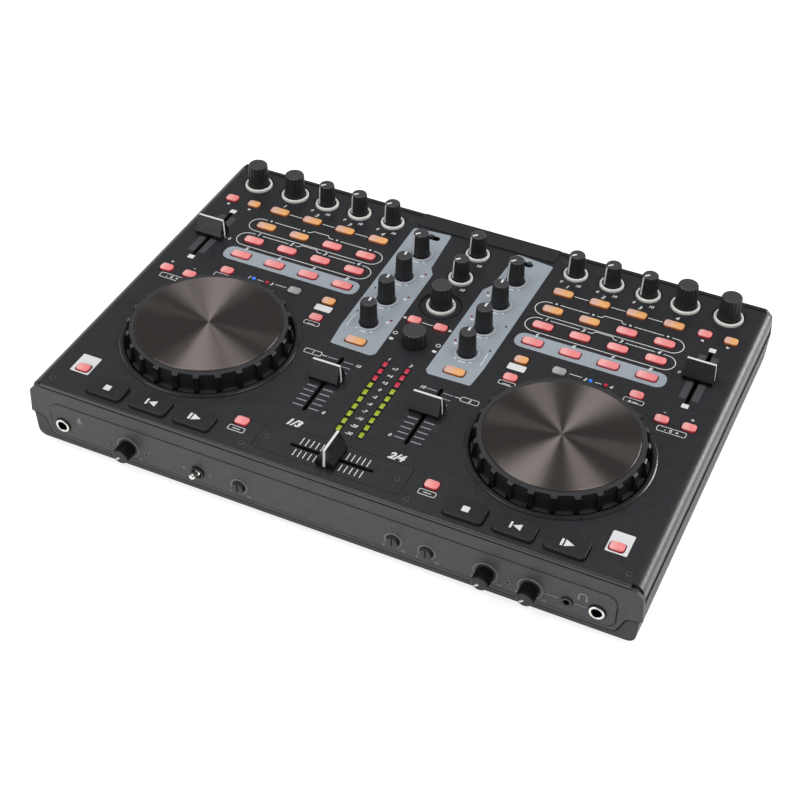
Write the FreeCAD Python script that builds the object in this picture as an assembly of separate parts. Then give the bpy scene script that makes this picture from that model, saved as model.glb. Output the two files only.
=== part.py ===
import FreeCAD, Part
import math
import os

# All sizes are in millimetres. The layout frame has X to the right, Y to the rear and Z up,
# with Z = 0 on the top face of the panel and X = 0 midway between the two decks.

# Casing
PANEL_HALF_WIDTH = 188.0
PANEL_ROLL_RADIUS = 7.0
PANEL_SHEET = 2.0
PANEL_SIDE_DROP = 15.0
PANEL_FRONT_Y = -138.5
PANEL_REAR_Y = 110.4
PANEL_EDGE_ROUND = 1.2
CASE_BOTTOM_Z = -42.0
CASE_FLARE = 0.8
CASE_TAPER = 1.4
CASE_CORNER_RADIUS = 5.0
CASE_WALL = 2.2
CASE_SETBACK = 0.4
SEAM_GAP = 0.5
LIP_HEIGHT = 3.0
LIP_WALL = 4.4
END_PLATE = 2.6
FASCIA_PROUD = 0.3
FASCIA_TOP_Z = -2.8
FASCIA_OVERHANG = 2.0
FASCIA_STEP_Z = -24.0
REAR_TOP_Z = 0.4
REAR_OVERHANG = 0.6
REAR_STEP_Z = -15.5
END_CHAMFER = 4.2
END_CORNER_LEAN = 1.2
END_CORNER_ROUND = 1.5
END_WINDOW_INSET = 7.0
END_WINDOW_SILL = 4.2
END_TOE_LEAN = 5.0
END_TOE_ROUND = 4.0
PANEL_GAP = 0.4
TONGUE_HALF_WIDTH = 47.5
TONGUE_DEPTH = 13.6
TONGUE_THICKNESS = 0.8

# Plates set into the casing
PLATE_INSET = 12.5
PLATE_TOP_Z = -12.0
PLATE_BOTTOM_Z = -35.0
PLATE_CORNER = 6.0
PLATE_THICKNESS = 1.2
PLATE_POCKET = 0.8
PLATE_GAP = 0.25
CROSSFADER_PLATE_HALF_WIDTH = 45.5
CROSSFADER_PLATE_REAR_Y = -108.5
CROSSFADER_PLATE_FRONT_Y = -131.0
CROSSFADER_PLATE_THICKNESS = 1.1
CROSSFADER_PLATE_CORNER = 2.0

# Fasteners, posts and feet
SCREW_HEAD_RADIUS = 2.1
SCREW_HEAD_HEIGHT = 0.8
SCREW_RADIUS = 1.3
SCREW_LENGTH = 7.0
SHORT_SCREW_REACH = 2.0
SCREW_BORE_ROOM = 1.0
SCREW_CLEARANCE = 0.2
DRIVE_SLOT_LENGTH = 2.6
DRIVE_SLOT_WIDTH = 0.6
DRIVE_SLOT_DEPTH = 0.5
POST_RADIUS = 3.2
POST_BASE_RADIUS = 5.5
PILLAR_INSET = (28.0, 13.0)
MIDDLE_PILLAR = (12.0, 0.0)
BOSS_SIDE = 7.0
BOSS_HEIGHT = 9.0
CORNER_SCREW_INSET = (10.8, 7.7)
FRONT_SCREW_X = 51.2
FRONT_SCREW_INSET = 7.1
REAR_SCREW_X = 54.2
REAR_SCREW_INSET = 5.8
CROSSFADER_SCREW = (40.2, -120.2)
FASCIA_SCREWS_X = (-134.8, -111.2, 114.7)
FASCIA_SCREW_Z = -28.5
FOOT_RADIUS = 8.0
FOOT_HEIGHT = 4.0
FOOT_CHAMFER = 0.8
FOOT_SIDE_INSET = 36.0
FOOT_FRONT_INSET = 26.5
FOOT_REAR_INSET = 22.4

# Circuit board
BOARD_TOP_Z = -12.0
BOARD_THICKNESS = 1.6
BOARD_SIDE_INSET = 10.0
BOARD_END_INSET = 10.4
SWITCH_SIDE = 6.0
SWITCH_HEIGHT = 3.4

# Jog wheels
JOG_X = 112.4
JOG_Y = -59.7
JOG_DISC_RADIUS = 44.0
JOG_DISC_TOP_Z = 12.55
JOG_DISC_THICKNESS = 2.3
JOG_DISC_CHAMFER = 0.6
JOG_RIM_LAND = 4.8
JOG_RIM_FLARE = 0.8
JOG_RIM_TOP_Z = 11.7
JOG_RIM_BOTTOM_Z = -2.0
JOG_RIM_WALL = 3.6
JOG_WEB = 3.0
JOG_RIM_CHAMFER = 1.0
JOG_NOTCHES = 24
JOG_NOTCH_WIDTH = 8.4
JOG_NOTCH_FLARE = 1.2
JOG_NOTCH_DEPTH = 2.0
JOG_NOTCH_BOTTOM_Z = 0.2
JOG_NOTCH_PHASE = {-1: -1.4, 1: 8.3}
JOG_HUB_RADIUS = 12.0
JOG_POST_RADIUS = 6.0
JOG_POST_TOP_Z = 8.0
SHAFT_CLEARANCE = 0.1
BEZEL_GAP = 1.2
BEZEL_WIDTH = 3.0
BEZEL_HEIGHT = 1.3
TUB_WALL = 1.5
TUB_FLOOR_Z = -6.4
TUB_FLOOR = 1.6

# Rotary knobs: base radius, top radius and top height above the panel
ENCODER_KNOB = (7.0, 6.4, 16.5)
POT_KNOB = (5.6, 5.0, 15.8)
STRIP_KNOB = (5.6, 5.0, 17.5)
SELECT_KNOB = (7.8, 7.3, 10.2)
KNOB_BASE_Z = 0.6
KNOB_TOP_ROUND = 1.1
KNOB_FLUTES = 16
FLUTE_RADIUS = 0.9
FLUTE_BITE = 0.45
SHAFT_RADIUS = 3.0
SHAFT_BOTTOM_Z = -7.6
SHAFT_HOLE_GAP = 0.5
SHAFT_END_GAP = 0.5
KNOB_GAP = 0.4
COLLAR_WALL = 1.75
COLLAR_HEIGHT = 1.3
COLLAR_ROUND = 0.5
COLLAR_RECESS = 0.6
COLLAR_RECESS_MARGIN = 1.3
BROWSE_RECESS_RADIUS = 13.3
ROTARY_BODY_SIDE = 11.0
ROTARY_BODY_HEIGHT = 7.0

# Knob places on the panel
ENCODER_X = (164.0, 136.3)
POT_X = (112.2, 88.2, 64.1)
KNOB_ROW_Y = 95.4
STRIP_X = 32.6
STRIP_Y = (71.3, 45.2, 19.4, -5.9)
MASTER_Y = 87.4
BOOTH_Y = 60.0
BROWSE_Y = 29.3
SELECT_Y = -10.5

# Buttons: width and depth of the caps and their places on the left deck, mirrored on the right
WIDE_BUTTON = (13.0, 6.6)
SMALL_BUTTON = (8.6, 6.6)
TRANSPORT_KEY = (23.2, 13.6)
PAD_COLUMNS = (136.1, 112.1, 88.1, 64.1)
PAD_ROWS = (73.5, 54.7, 37.8, 20.9)
LOOP_X = (172.0, 155.6)
BEND_Y = -11.0
LOCK_Y = 2.6
SYNC_LOWER_Y = -14.9
SHIFT_PLACE = (165.5, -115.7)
CUE_PLACE = (32.4, -24.1)
LOAD_PLACE = (8.7, 9.1)
LINK_PLACE = (59.1, -115.8)
TRANSPORT_X = (83.6, 112.4, 141.7)
TRANSPORT_Y = -126.7
BUTTON_PROUD = 1.6
BUTTON_CORNER = 1.8
BUTTON_ROUND = 0.7
KEY_PROUD = 2.4
KEY_CORNER = 2.6
KEY_ROUND = 0.5
BUTTON_TRAVEL = 1.0
BUTTON_GAP = 0.4
FLANGE_WIDTH = 0.8
FLANGE_THICKNESS = 1.2
STEM_RADIUS = 1.8

# Faders
FADER_TRAVEL = 45.0
FADER_SLOT_WIDTH = 2.4
FADER_SLOT_MARGIN = 1.6
FADER_STEM = (3.6, 1.4)
FADER_STEM_BOTTOM_Z = -7.0
FADER_STEM_ROOM = 1.0
FADER_BODY_WIDTH = 10.0
FADER_BODY_HEIGHT = 8.6
FADER_BODY_END = 4.0
CAP_LENGTH = 18.4
CAP_DEPTH = 11.0
CAP_RIDGE = 2.0
CAP_BOTTOM_Z = 0.8
CAP_SHOULDER_Z = 3.2
CAP_TOP_Z = 13.0
CAP_END_DRAFT = 0.5
CHANNEL_X = 32.2
CHANNEL_MIDDLE_Y = -66.9
PITCH_X = 164.3
PITCH_MIDDLE_Y = 33.2
CROSSFADER_Y = -120.3

# Source sliders, level meters and indicators
SOURCE_PLACE = (32.4, 91.4)
SOURCE_SLOT = (8.0, 4.4)
SOURCE_NUB = (2.4, 2.6)
SOURCE_TRAVEL = 3.6
SOURCE_PROUD = 1.8
SOURCE_BODY_HEIGHT = 5.0
SOURCE_BODY_WALL = 2.0
SOURCE_BODY_FLOOR = 1.5
SOURCE_FLOOR_GAP = 0.5
METER_X = 7.1
METER_SEGMENTS = 10
METER_FRONT_Y = -97.0
METER_REAR_Y = -36.0
SEGMENT_SIZE = (2.6, 4.4)
DECK_LIGHTS_X = (117.0, 107.6)
DECK_LIGHT_Y = 2.9
LIGHT_RADIUS = 1.4
LENS_PROUD = 0.3
LENS_DEPTH = 3.0
LENS_GAP = 0.1

# Front face
FRONT_ROW_Z = -27.3
FRONT_KNOB = (5.5, 5.0, 8.4)
FRONT_KNOBS_X = {"mic_level_knob": -123.5, "phones_mix_knob": 101.7, "phones_level_knob": 127.6}
TRIMMER = (3.5, 3.3, 2.2)
TRIMMERS_X = {"touch_trimmer_left": -49.8, "touch_trimmer_right": 46.8, "curve_trimmer": 67.0}
TRIMMER_SLOT_WIDTH = 0.9
TRIMMER_SLOT_DEPTH = 0.8
FRONT_KNOB_GAP = 0.6
FRONT_SHAFT_LENGTH = 9.0
LARGE_JACKS_X = (-168.2, 165.4)
SMALL_JACK_X = 148.4
LARGE_JACK = (3.2, 5.1, 30.0)
SMALL_JACK = (1.8, 3.4, 15.0)
JACK_PROUD = 0.8
JACK_BODY_MARGIN = 2.4
JACK_END_WALL = 2.0
TOGGLE_X = -76.9
TOGGLE_TILT = 12.0
TOGGLE_LEVER_RADIUS = 1.5
TOGGLE_TIP_RADIUS = 2.0
TOGGLE_LENGTH = 4.6
TOGGLE_BALL_RADIUS = 2.4
TOGGLE_COLLAR_RADIUS = 4.2
TOGGLE_COLLAR_PROUD = 1.2
TOGGLE_COLLAR_WALL = 0.6
TOGGLE_THROAT = 1.0
TOGGLE_BODY_DEPTH = 10.0

# Rear face
SOCKET_Z = -26.0
PHONO_SOCKETS_X = (-132.0, -116.0, -92.0, -76.0)
PHONO_RADIUS = 4.15
PHONO_REACH = 9.0
PHONO_BORE_RADIUS = 1.7
PHONO_BORE_DEPTH = 8.0
PHONO_FLANGE_RADIUS = 6.2
PHONO_FLANGE_THICKNESS = 1.0
PHONO_BODY_SIDE = 10.0
PHONO_BODY_DEPTH = 9.0
USB_X = 84.0
USB_WIDTH = 8.5
USB_HEIGHT = 7.8
USB_WALL = 1.2
USB_DEPTH = 16.0
USB_PROUD = 0.5
USB_BACK_WALL = 2.0
USB_TONGUE = (5.6, 3.2, 8.9)
USB_CORNER = 1.8
SOCKET_GAP = 0.2

# Modelling allowances: how far a cutter runs past a face, how far fused forms overlap, and a tolerance
PAST = 1.0
OVERLAP = 0.5
TOLERANCE = 0.001

# Sizes that follow from those above
CASE_HALF_WIDTH = PANEL_HALF_WIDTH + CASE_FLARE
CASE_FOOT_HALF_WIDTH = CASE_HALF_WIDTH - CASE_TAPER
FASCIA_HALF_WIDTH = PANEL_HALF_WIDTH + FASCIA_OVERHANG
REAR_HALF_WIDTH = PANEL_HALF_WIDTH + REAR_OVERHANG
END_WINDOW_HALF_WIDTH = PANEL_HALF_WIDTH - END_WINDOW_INSET
END_BOTTOM_Z = CASE_BOTTOM_Z + END_WINDOW_SILL
PLATE_HALF_WIDTH = PANEL_HALF_WIDTH - PLATE_INSET
CORNER_SCREW = (PANEL_HALF_WIDTH - CORNER_SCREW_INSET[0], PANEL_FRONT_Y + CORNER_SCREW_INSET[1])
FRONT_SCREW = (FRONT_SCREW_X, PANEL_FRONT_Y + FRONT_SCREW_INSET)
REAR_SCREW = (REAR_SCREW_X, PANEL_REAR_Y - REAR_SCREW_INSET)
FOOT_X = PANEL_HALF_WIDTH - FOOT_SIDE_INSET
FOOT_FRONT_Y = PANEL_FRONT_Y + FOOT_FRONT_INSET
FOOT_REAR_Y = PANEL_REAR_Y - FOOT_REAR_INSET
BOARD_HALF_WIDTH = PANEL_HALF_WIDTH - BOARD_SIDE_INSET
BOARD_FRONT_Y = PANEL_FRONT_Y + BOARD_END_INSET
BOARD_REAR_Y = PANEL_REAR_Y - BOARD_END_INSET
PILLAR_X = BOARD_HALF_WIDTH - PILLAR_INSET[0]
PILLAR_FRONT_Y = BOARD_FRONT_Y + PILLAR_INSET[1]
PILLAR_REAR_Y = BOARD_REAR_Y - PILLAR_INSET[1]
JOG_SEAT_RADIUS = JOG_DISC_RADIUS + KNOB_GAP
JOG_RIM_TOP_RADIUS = JOG_SEAT_RADIUS + JOG_RIM_LAND
JOG_RIM_BASE_RADIUS = JOG_RIM_TOP_RADIUS + JOG_RIM_FLARE
BEZEL_INNER_RADIUS = JOG_RIM_BASE_RADIUS + BEZEL_GAP
BEZEL_OUTER_RADIUS = BEZEL_INNER_RADIUS + BEZEL_WIDTH
CHANNEL_REST = FADER_TRAVEL / 10
FASCIA_FACE_Y = PANEL_FRONT_Y - FASCIA_PROUD
FASCIA_BACK_Y = FASCIA_FACE_Y + END_PLATE
PLATE_BACK_Y = FASCIA_FACE_Y + PLATE_POCKET
PLATE_FACE_Y = PLATE_BACK_Y - PLATE_THICKNESS
REAR_INNER_Y = PANEL_REAR_Y + PANEL_GAP
REAR_FACE_Y = REAR_INNER_Y + END_PLATE
TONGUE_FRONT_Y = REAR_FACE_Y - TONGUE_DEPTH
PANEL_BOTTOM_Z = -PANEL_SHEET
LIP_BOTTOM_Z = -PANEL_SIDE_DROP - SEAM_GAP
BOARD_BOTTOM_Z = BOARD_TOP_Z - BOARD_THICKNESS
FLOOR_Z = CASE_BOTTOM_Z + CASE_WALL
FLANGE_TOP_Z = PANEL_BOTTOM_Z - PANEL_GAP
STEM_BOTTOM_Z = BOARD_TOP_Z + SWITCH_HEIGHT + BUTTON_TRAVEL + PANEL_GAP
FRONT_REACH = -(PLATE_FACE_Y - FRONT_KNOB_GAP - FRONT_KNOB[2])
REAR_REACH = REAR_FACE_Y + PHONO_REACH
PART_SHIFT = FreeCAD.Vector(0, (FRONT_REACH - REAR_REACH) / 2, FOOT_HEIGHT - CASE_BOTTOM_Z)
SIDES = {"left": -1, "right": 1}
UP = FreeCAD.Vector(0, 0, 1)
REARWARD = FreeCAD.Vector(0, 1, 0)
ORIGIN = FreeCAD.Vector(0, 0, 0)


# Basic shapes


def block(x0, x1, y0, y1, z0, z1):
    return Part.makeBox(x1 - x0, y1 - y0, z1 - z0, FreeCAD.Vector(x0, y0, z0))


def pad(x, y, width, depth, z0, z1):
    """An upright block centred on x, y."""
    return block(x - width / 2, x + width / 2, y - depth / 2, y + depth / 2, z0, z1)


def wall_pad(x, z, width, height, y0, y1):
    """A block centred on x, z that runs from y0 to y1."""
    return block(x - width / 2, x + width / 2, y0, y1, z - height / 2, z + height / 2)


def disc(x, y, radius, z0, z1):
    return Part.makeCylinder(radius, z1 - z0, FreeCAD.Vector(x, y, z0), UP)


def rod(x, z, radius, y0, y1):
    return Part.makeCylinder(radius, y1 - y0, FreeCAD.Vector(x, y0, z), REARWARD)


def rounded_block(x, y, width, depth, corner, z0, z1):
    """An upright block with rounded corners, centred on x, y."""
    solid = pad(x, y, width, depth, z0, z1)
    upright = [edge for edge in solid.Edges if edge.BoundBox.ZLength > (z1 - z0) / 2]
    return solid.makeFillet(corner, upright)


def slot_block(x, y, length_x, length_y, z0, z1):
    """A block with half-round ends along its longer side."""
    return rounded_block(x, y, length_x, length_y, min(length_x, length_y) / 2 - TOLERANCE, z0, z1)


def prism_along_y(points, y0, y1):
    """A closed outline of x, z points, extended from y0 to y1."""
    corners = [FreeCAD.Vector(x, y0, z) for x, z in points]
    wire = Part.makePolygon(corners + corners[:1])
    return Part.Face(wire).extrude(FreeCAD.Vector(0, y1 - y0, 0))


def turned(points, x, y):
    """A solid of revolution about the upright line through x, y from r, z points."""
    corners = [FreeCAD.Vector(x + r, y, z) for r, z in points]
    wire = Part.makePolygon(corners + corners[:1])
    return Part.Face(wire).revolve(FreeCAD.Vector(x, y, 0), UP, 360)


def round_top(solid, radius):
    """Round the edges on the uppermost face."""
    top = solid.BoundBox.ZMax
    edges = [edge for edge in solid.Edges if edge.BoundBox.ZMin > top - TOLERANCE]
    return solid.makeFillet(radius, edges)


def joined(shapes):
    return shapes[0].fuse(shapes[1:]).removeSplitter()


def without(solid, tools):
    return solid.cut(Part.makeCompound(tools))


def moved(shape, x, y, z):
    copy = shape.copy()
    copy.translate(FreeCAD.Vector(x, y, z))
    return copy


def group(solids):
    return Part.makeCompound(solids)


def both_sides(place):
    x, y = place
    return [(-x, y), (x, y)]


# Places of the controls


def pad_places(side):
    return [(side * x, y) for y in PAD_ROWS for x in PAD_COLUMNS]


def small_button_places(side):
    inner = PAD_COLUMNS[-1]
    places = [(x, PAD_ROWS[0]) for x in LOOP_X] + [(x, BEND_Y) for x in LOOP_X]
    places += [(PAD_COLUMNS[0], LOCK_Y), (PAD_COLUMNS[2], LOCK_Y), (inner, LOCK_Y), (inner, SYNC_LOWER_Y)]
    places.append(SHIFT_PLACE)
    return [(side * x, y) for x, y in places]


def transport_places(side):
    return [(side * x, TRANSPORT_Y) for x in TRANSPORT_X]


def button_places():
    """Every button: x, y and the size of its cap."""
    places = []
    for side in SIDES.values():
        places += [(x, y, WIDE_BUTTON) for x, y in pad_places(side)]
        places += [(x, y, SMALL_BUTTON) for x, y in small_button_places(side)]
        places += [(x, y, TRANSPORT_KEY) for x, y in transport_places(side)]
        places.append((side * CUE_PLACE[0], CUE_PLACE[1], WIDE_BUTTON))
        places.append((side * LOAD_PLACE[0], LOAD_PLACE[1], SMALL_BUTTON))
        places.append((side * LINK_PLACE[0], LINK_PLACE[1], SMALL_BUTTON))
    return places


def panel_knobs():
    """Each knob on the panel: node name, x, y, its form and whether a collar rings it."""
    knobs = []
    for name, side in SIDES.items():
        for number, x in enumerate(ENCODER_X, 1):
            knobs.append((f"encoder_{number}_{name}", side * x, KNOB_ROW_Y, ENCODER_KNOB, True))
        for number, x in enumerate(POT_X, 1):
            knobs.append((f"effect_knob_{number}_{name}", side * x, KNOB_ROW_Y, POT_KNOB, True))
        for band, y in zip(("gain", "treble", "middle", "bass"), STRIP_Y):
            knobs.append((f"{band}_knob_{name}", side * STRIP_X, y, STRIP_KNOB, True))
    knobs.append(("master_knob", 0, MASTER_Y, POT_KNOB, True))
    knobs.append(("booth_knob", 0, BOOTH_Y, POT_KNOB, True))
    knobs.append(("browse_knob", 0, BROWSE_Y, ENCODER_KNOB, True))
    knobs.append(("select_knob", 0, SELECT_Y, SELECT_KNOB, False))
    return knobs


def fader_places():
    """Each fader: node name, middle of its slot, whether it runs along Y, and its rest offset."""
    faders = [("crossfader", 0, CROSSFADER_Y, False, 0)]
    for name, side in SIDES.items():
        faders.append((f"channel_fader_{name}", side * CHANNEL_X, CHANNEL_MIDDLE_Y, True, CHANNEL_REST))
        faders.append((f"pitch_fader_{name}", side * PITCH_X, PITCH_MIDDLE_Y, True, 0))
    return faders


def fader_slot_length():
    return FADER_TRAVEL + FADER_STEM[0] + 2 * FADER_SLOT_MARGIN


def slot_sides(long_along_y, length, width):
    return (width, length) if long_along_y else (length, width)


def segment_places():
    step = (METER_REAR_Y - METER_FRONT_Y) / (METER_SEGMENTS - 1)
    rows = [METER_FRONT_Y + step * number for number in range(METER_SEGMENTS)]
    return [(side * METER_X, y) for side in SIDES.values() for y in rows]


def light_places():
    return [(side * x, DECK_LIGHT_Y) for side in SIDES.values() for x in DECK_LIGHTS_X]


def boss_places():
    """Panel screws that go into bosses behind the fascia."""
    return both_sides(CORNER_SCREW) + both_sides(FRONT_SCREW)


def post_places():
    """Panel screws that go into posts of the lower case."""
    return both_sides(REAR_SCREW)


# Casing


def runs_along_y(edge):
    box = edge.BoundBox
    return box.XLength < TOLERANCE and box.ZLength < TOLERANCE


def soften(solid, places, radius):
    """Round the edges along Y at the given x, z places and at their mirror images."""
    edges = []
    for edge in filter(runs_along_y, solid.Edges):
        place = (abs(edge.BoundBox.XMin), edge.BoundBox.ZMin)
        if any(math.dist(place, wanted) < 10 * TOLERANCE for wanted in places):
            edges.append(edge)
    return solid.makeFillet(radius, edges)


def panel_sheet():
    """The bent sheet: flat top, rolled sides and a narrow front edge that reaches over the fascia."""
    half = PANEL_HALF_WIDTH
    inner = half - PANEL_SHEET
    front = FASCIA_BACK_Y + PANEL_GAP
    body = block(-half, half, front, PANEL_REAR_Y, -PANEL_SIDE_DROP, 0)
    low = -PANEL_SIDE_DROP - PAST
    body = body.cut(block(-inner, inner, front - PAST, PANEL_REAR_Y + PAST, low, PANEL_BOTTOM_Z))
    body = soften(body, [(half, 0)], PANEL_ROLL_RADIUS)
    body = soften(body, [(inner, PANEL_BOTTOM_Z)], PANEL_ROLL_RADIUS - PANEL_SHEET)
    flat = half - PANEL_ROLL_RADIUS
    apron = block(-flat, flat, PANEL_FRONT_Y, front, PANEL_BOTTOM_Z, 0)
    front_edges = [edge for edge in apron.Edges if edge.BoundBox.YMax < PANEL_FRONT_Y + TOLERANCE]
    top_edge = [edge for edge in front_edges if edge.BoundBox.ZMin > -TOLERANCE]
    return joined([body, apron.makeFillet(PANEL_EDGE_ROUND, top_edge)])


def button_cuts():
    cuts = []
    for x, y, (width, depth) in button_places():
        corner = (KEY_CORNER if (width, depth) == TRANSPORT_KEY else BUTTON_CORNER) + BUTTON_GAP
        wide = width + 2 * BUTTON_GAP
        deep = depth + 2 * BUTTON_GAP
        cuts.append(rounded_block(x, y, wide, deep, corner, PANEL_BOTTOM_Z - PAST, PAST))
    return cuts


def collar_radius(form):
    """Inner radius of the collar that rings a knob."""
    return form[0] + KNOB_GAP


def knob_cuts():
    cuts = []
    for name, x, y, form, ringed in panel_knobs():
        cuts.append(disc(x, y, SHAFT_RADIUS + SHAFT_HOLE_GAP, PANEL_BOTTOM_Z - PAST, PAST))
        if ringed:
            radius = collar_radius(form) + COLLAR_WALL + COLLAR_RECESS_MARGIN
            if name == "browse_knob":
                radius = BROWSE_RECESS_RADIUS
            cuts.append(disc(x, y, radius, -COLLAR_RECESS, PAST))
    return cuts


def fader_cuts():
    cuts = []
    for _, x, y, along_y, _ in fader_places():
        length_x, length_y = slot_sides(along_y, fader_slot_length(), FADER_SLOT_WIDTH)
        cuts.append(slot_block(x, y, length_x, length_y, PANEL_BOTTOM_Z - PAST, PAST))
    for x, y in both_sides(SOURCE_PLACE):
        cuts.append(slot_block(x, y, SOURCE_SLOT[0], SOURCE_SLOT[1], PANEL_BOTTOM_Z - PAST, PAST))
    return cuts


def lens_cuts():
    wide = SEGMENT_SIZE[0] + 2 * LENS_GAP
    deep = SEGMENT_SIZE[1] + 2 * LENS_GAP
    low = PANEL_BOTTOM_Z - PAST
    cuts = [pad(x, y, wide, deep, low, PAST) for x, y in segment_places()]
    return cuts + [disc(x, y, LIGHT_RADIUS + LENS_GAP, low, PAST) for x, y in light_places()]


def panel_screw_cuts():
    cuts = []
    for x, y in boss_places() + post_places() + both_sides(CROSSFADER_SCREW):
        cuts.append(disc(x, y, SCREW_HEAD_RADIUS + SCREW_CLEARANCE, -SCREW_HEAD_HEIGHT, PAST))
        cuts.append(disc(x, y, SCREW_RADIUS + SCREW_CLEARANCE, PANEL_BOTTOM_Z - PAST, PAST))
    return cuts


def crossfader_pocket(gap, z0, z1):
    width = 2 * CROSSFADER_PLATE_HALF_WIDTH + 2 * gap
    depth = CROSSFADER_PLATE_REAR_Y - CROSSFADER_PLATE_FRONT_Y + 2 * gap
    middle = (CROSSFADER_PLATE_REAR_Y + CROSSFADER_PLATE_FRONT_Y) / 2
    return rounded_block(0, middle, width, depth, CROSSFADER_PLATE_CORNER + gap, z0, z1)


def top_panel():
    radius = BEZEL_INNER_RADIUS + TUB_WALL + PANEL_GAP
    low = PANEL_BOTTOM_Z - PAST
    jog_openings = [disc(side * JOG_X, JOG_Y, radius, low, PAST) for side in SIDES.values()]
    pocket = crossfader_pocket(PLATE_GAP, -CROSSFADER_PLATE_THICKNESS, PAST)
    cuts = button_cuts() + knob_cuts() + fader_cuts() + lens_cuts() + panel_screw_cuts()
    sheet = without(panel_sheet(), jog_openings + [pocket])
    return without(sheet, cuts)


def end_plate(half_width, top_z, step_z, gap, y0, y1):
    """A front or rear end plate grown by gap: cut-off upper corners and a lower part that steps in."""
    half = half_width + gap
    top = top_z + gap
    step = step_z - gap
    bottom = END_BOTTOM_Z - gap
    window = END_WINDOW_HALF_WIDTH + gap
    shoulder = (half - END_CORNER_LEAN, top - END_CHAMFER)
    ankle = (window, step - END_CORNER_LEAN)
    toe = (window - END_TOE_LEAN, bottom)
    right = [(half - END_CORNER_LEAN - END_CHAMFER, top), shoulder, (half, step), ankle, toe]
    plate = prism_along_y(right + [(-x, z) for x, z in reversed(right)], y0, y1)
    plate = soften(plate, [right[0], shoulder], END_CORNER_ROUND)
    return soften(plate, [ankle, toe], END_TOE_ROUND)


def fascia_solid(gap, y0, y1):
    return end_plate(FASCIA_HALF_WIDTH, FASCIA_TOP_Z, FASCIA_STEP_Z, gap, y0, y1)


def rear_solid(gap, y0, y1):
    return end_plate(REAR_HALF_WIDTH, REAR_TOP_Z, REAR_STEP_Z, gap, y0, y1)


def upright_rounded_plate(half_width, z0, z1, corner, y0, y1):
    """A plate that stands on edge, facing Y, with rounded corners."""
    solid = block(-half_width, half_width, y0, y1, z0, z1)
    edges = [edge for edge in solid.Edges if edge.BoundBox.YLength > (y1 - y0) / 2]
    return solid.makeFillet(corner, edges)


def front_holes(y0, y1):
    """Openings for everything that passes through the front."""
    holes = [rod(x, FRONT_ROW_Z, SHAFT_RADIUS + SHAFT_HOLE_GAP, y0, y1) for x in FRONT_KNOBS_X.values()]
    holes += [rod(x, FRONT_ROW_Z, TRIMMER[0] + KNOB_GAP, y0, y1) for x in TRIMMERS_X.values()]
    holes += [rod(x, FRONT_ROW_Z, LARGE_JACK[1] + SOCKET_GAP, y0, y1) for x in LARGE_JACKS_X]
    holes.append(rod(SMALL_JACK_X, FRONT_ROW_Z, SMALL_JACK[1] + SOCKET_GAP, y0, y1))
    holes.append(rod(TOGGLE_X, FRONT_ROW_Z, TOGGLE_COLLAR_RADIUS + SOCKET_GAP, y0, y1))
    holes += [rod(x, FASCIA_SCREW_Z, SCREW_RADIUS + SCREW_CLEARANCE, y0, y1) for x in FASCIA_SCREWS_X]
    return holes


def screw_bores(places):
    radius = SCREW_RADIUS + SCREW_CLEARANCE / 2
    return [disc(x, y, radius, -SCREW_LENGTH - SCREW_BORE_ROOM, PAST) for x, y in places]


def fascia_bosses():
    """Blocks behind the fascia that take the front panel screws."""
    half = BOSS_SIDE / 2
    low = PANEL_BOTTOM_Z - BOSS_HEIGHT
    front = FASCIA_BACK_Y - OVERLAP
    return [block(x - half, x + half, front, y + half, low, PANEL_BOTTOM_Z) for x, y in boss_places()]


def front_fascia():
    plate = joined([fascia_solid(0, FASCIA_FACE_Y, FASCIA_BACK_Y)] + fascia_bosses())
    pocket = upright_rounded_plate(
        PLATE_HALF_WIDTH + PLATE_GAP,
        PLATE_BOTTOM_Z - PLATE_GAP,
        PLATE_TOP_Z + PLATE_GAP,
        PLATE_CORNER + PLATE_GAP,
        FASCIA_FACE_Y - PAST,
        PLATE_BACK_Y,
    )
    holes = front_holes(FASCIA_FACE_Y - PAST, FASCIA_BACK_Y + PAST)
    return without(plate, [pocket] + holes + screw_bores(boss_places()))


def front_plate():
    plate = upright_rounded_plate(
        PLATE_HALF_WIDTH, PLATE_BOTTOM_Z, PLATE_TOP_Z, PLATE_CORNER, PLATE_FACE_Y, PLATE_BACK_Y
    )
    head = SCREW_HEAD_RADIUS + SCREW_CLEARANCE
    front = PLATE_FACE_Y - PAST
    seats = [rod(x, FASCIA_SCREW_Z, head, front, PLATE_FACE_Y + SCREW_HEAD_HEIGHT) for x in FASCIA_SCREWS_X]
    return without(plate, seats + front_holes(front, PLATE_BACK_Y + PAST))


def crossfader_plate():
    plate = crossfader_pocket(0, -CROSSFADER_PLATE_THICKNESS, 0)
    return without(plate, fader_cuts() + panel_screw_cuts())


def rear_holes(y0, y1):
    holes = [rod(x, SOCKET_Z, PHONO_RADIUS + SOCKET_GAP, y0, y1) for x in PHONO_SOCKETS_X]
    margin = 2 * (USB_WALL + SOCKET_GAP)
    holes.append(wall_pad(USB_X, SOCKET_Z, USB_WIDTH + margin, USB_HEIGHT + margin, y0, y1))
    return holes


def rear_panel():
    """The rear end plate with a flat tongue that lies on the top panel."""
    plate = rear_solid(0, REAR_INNER_Y, REAR_FACE_Y)
    half = TONGUE_HALF_WIDTH
    tongue = block(-half, half, TONGUE_FRONT_Y, REAR_FACE_Y, 0, TONGUE_THICKNESS)
    return without(joined([plate, tongue]), rear_holes(REAR_INNER_Y - PAST, REAR_FACE_Y + PAST))


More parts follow.
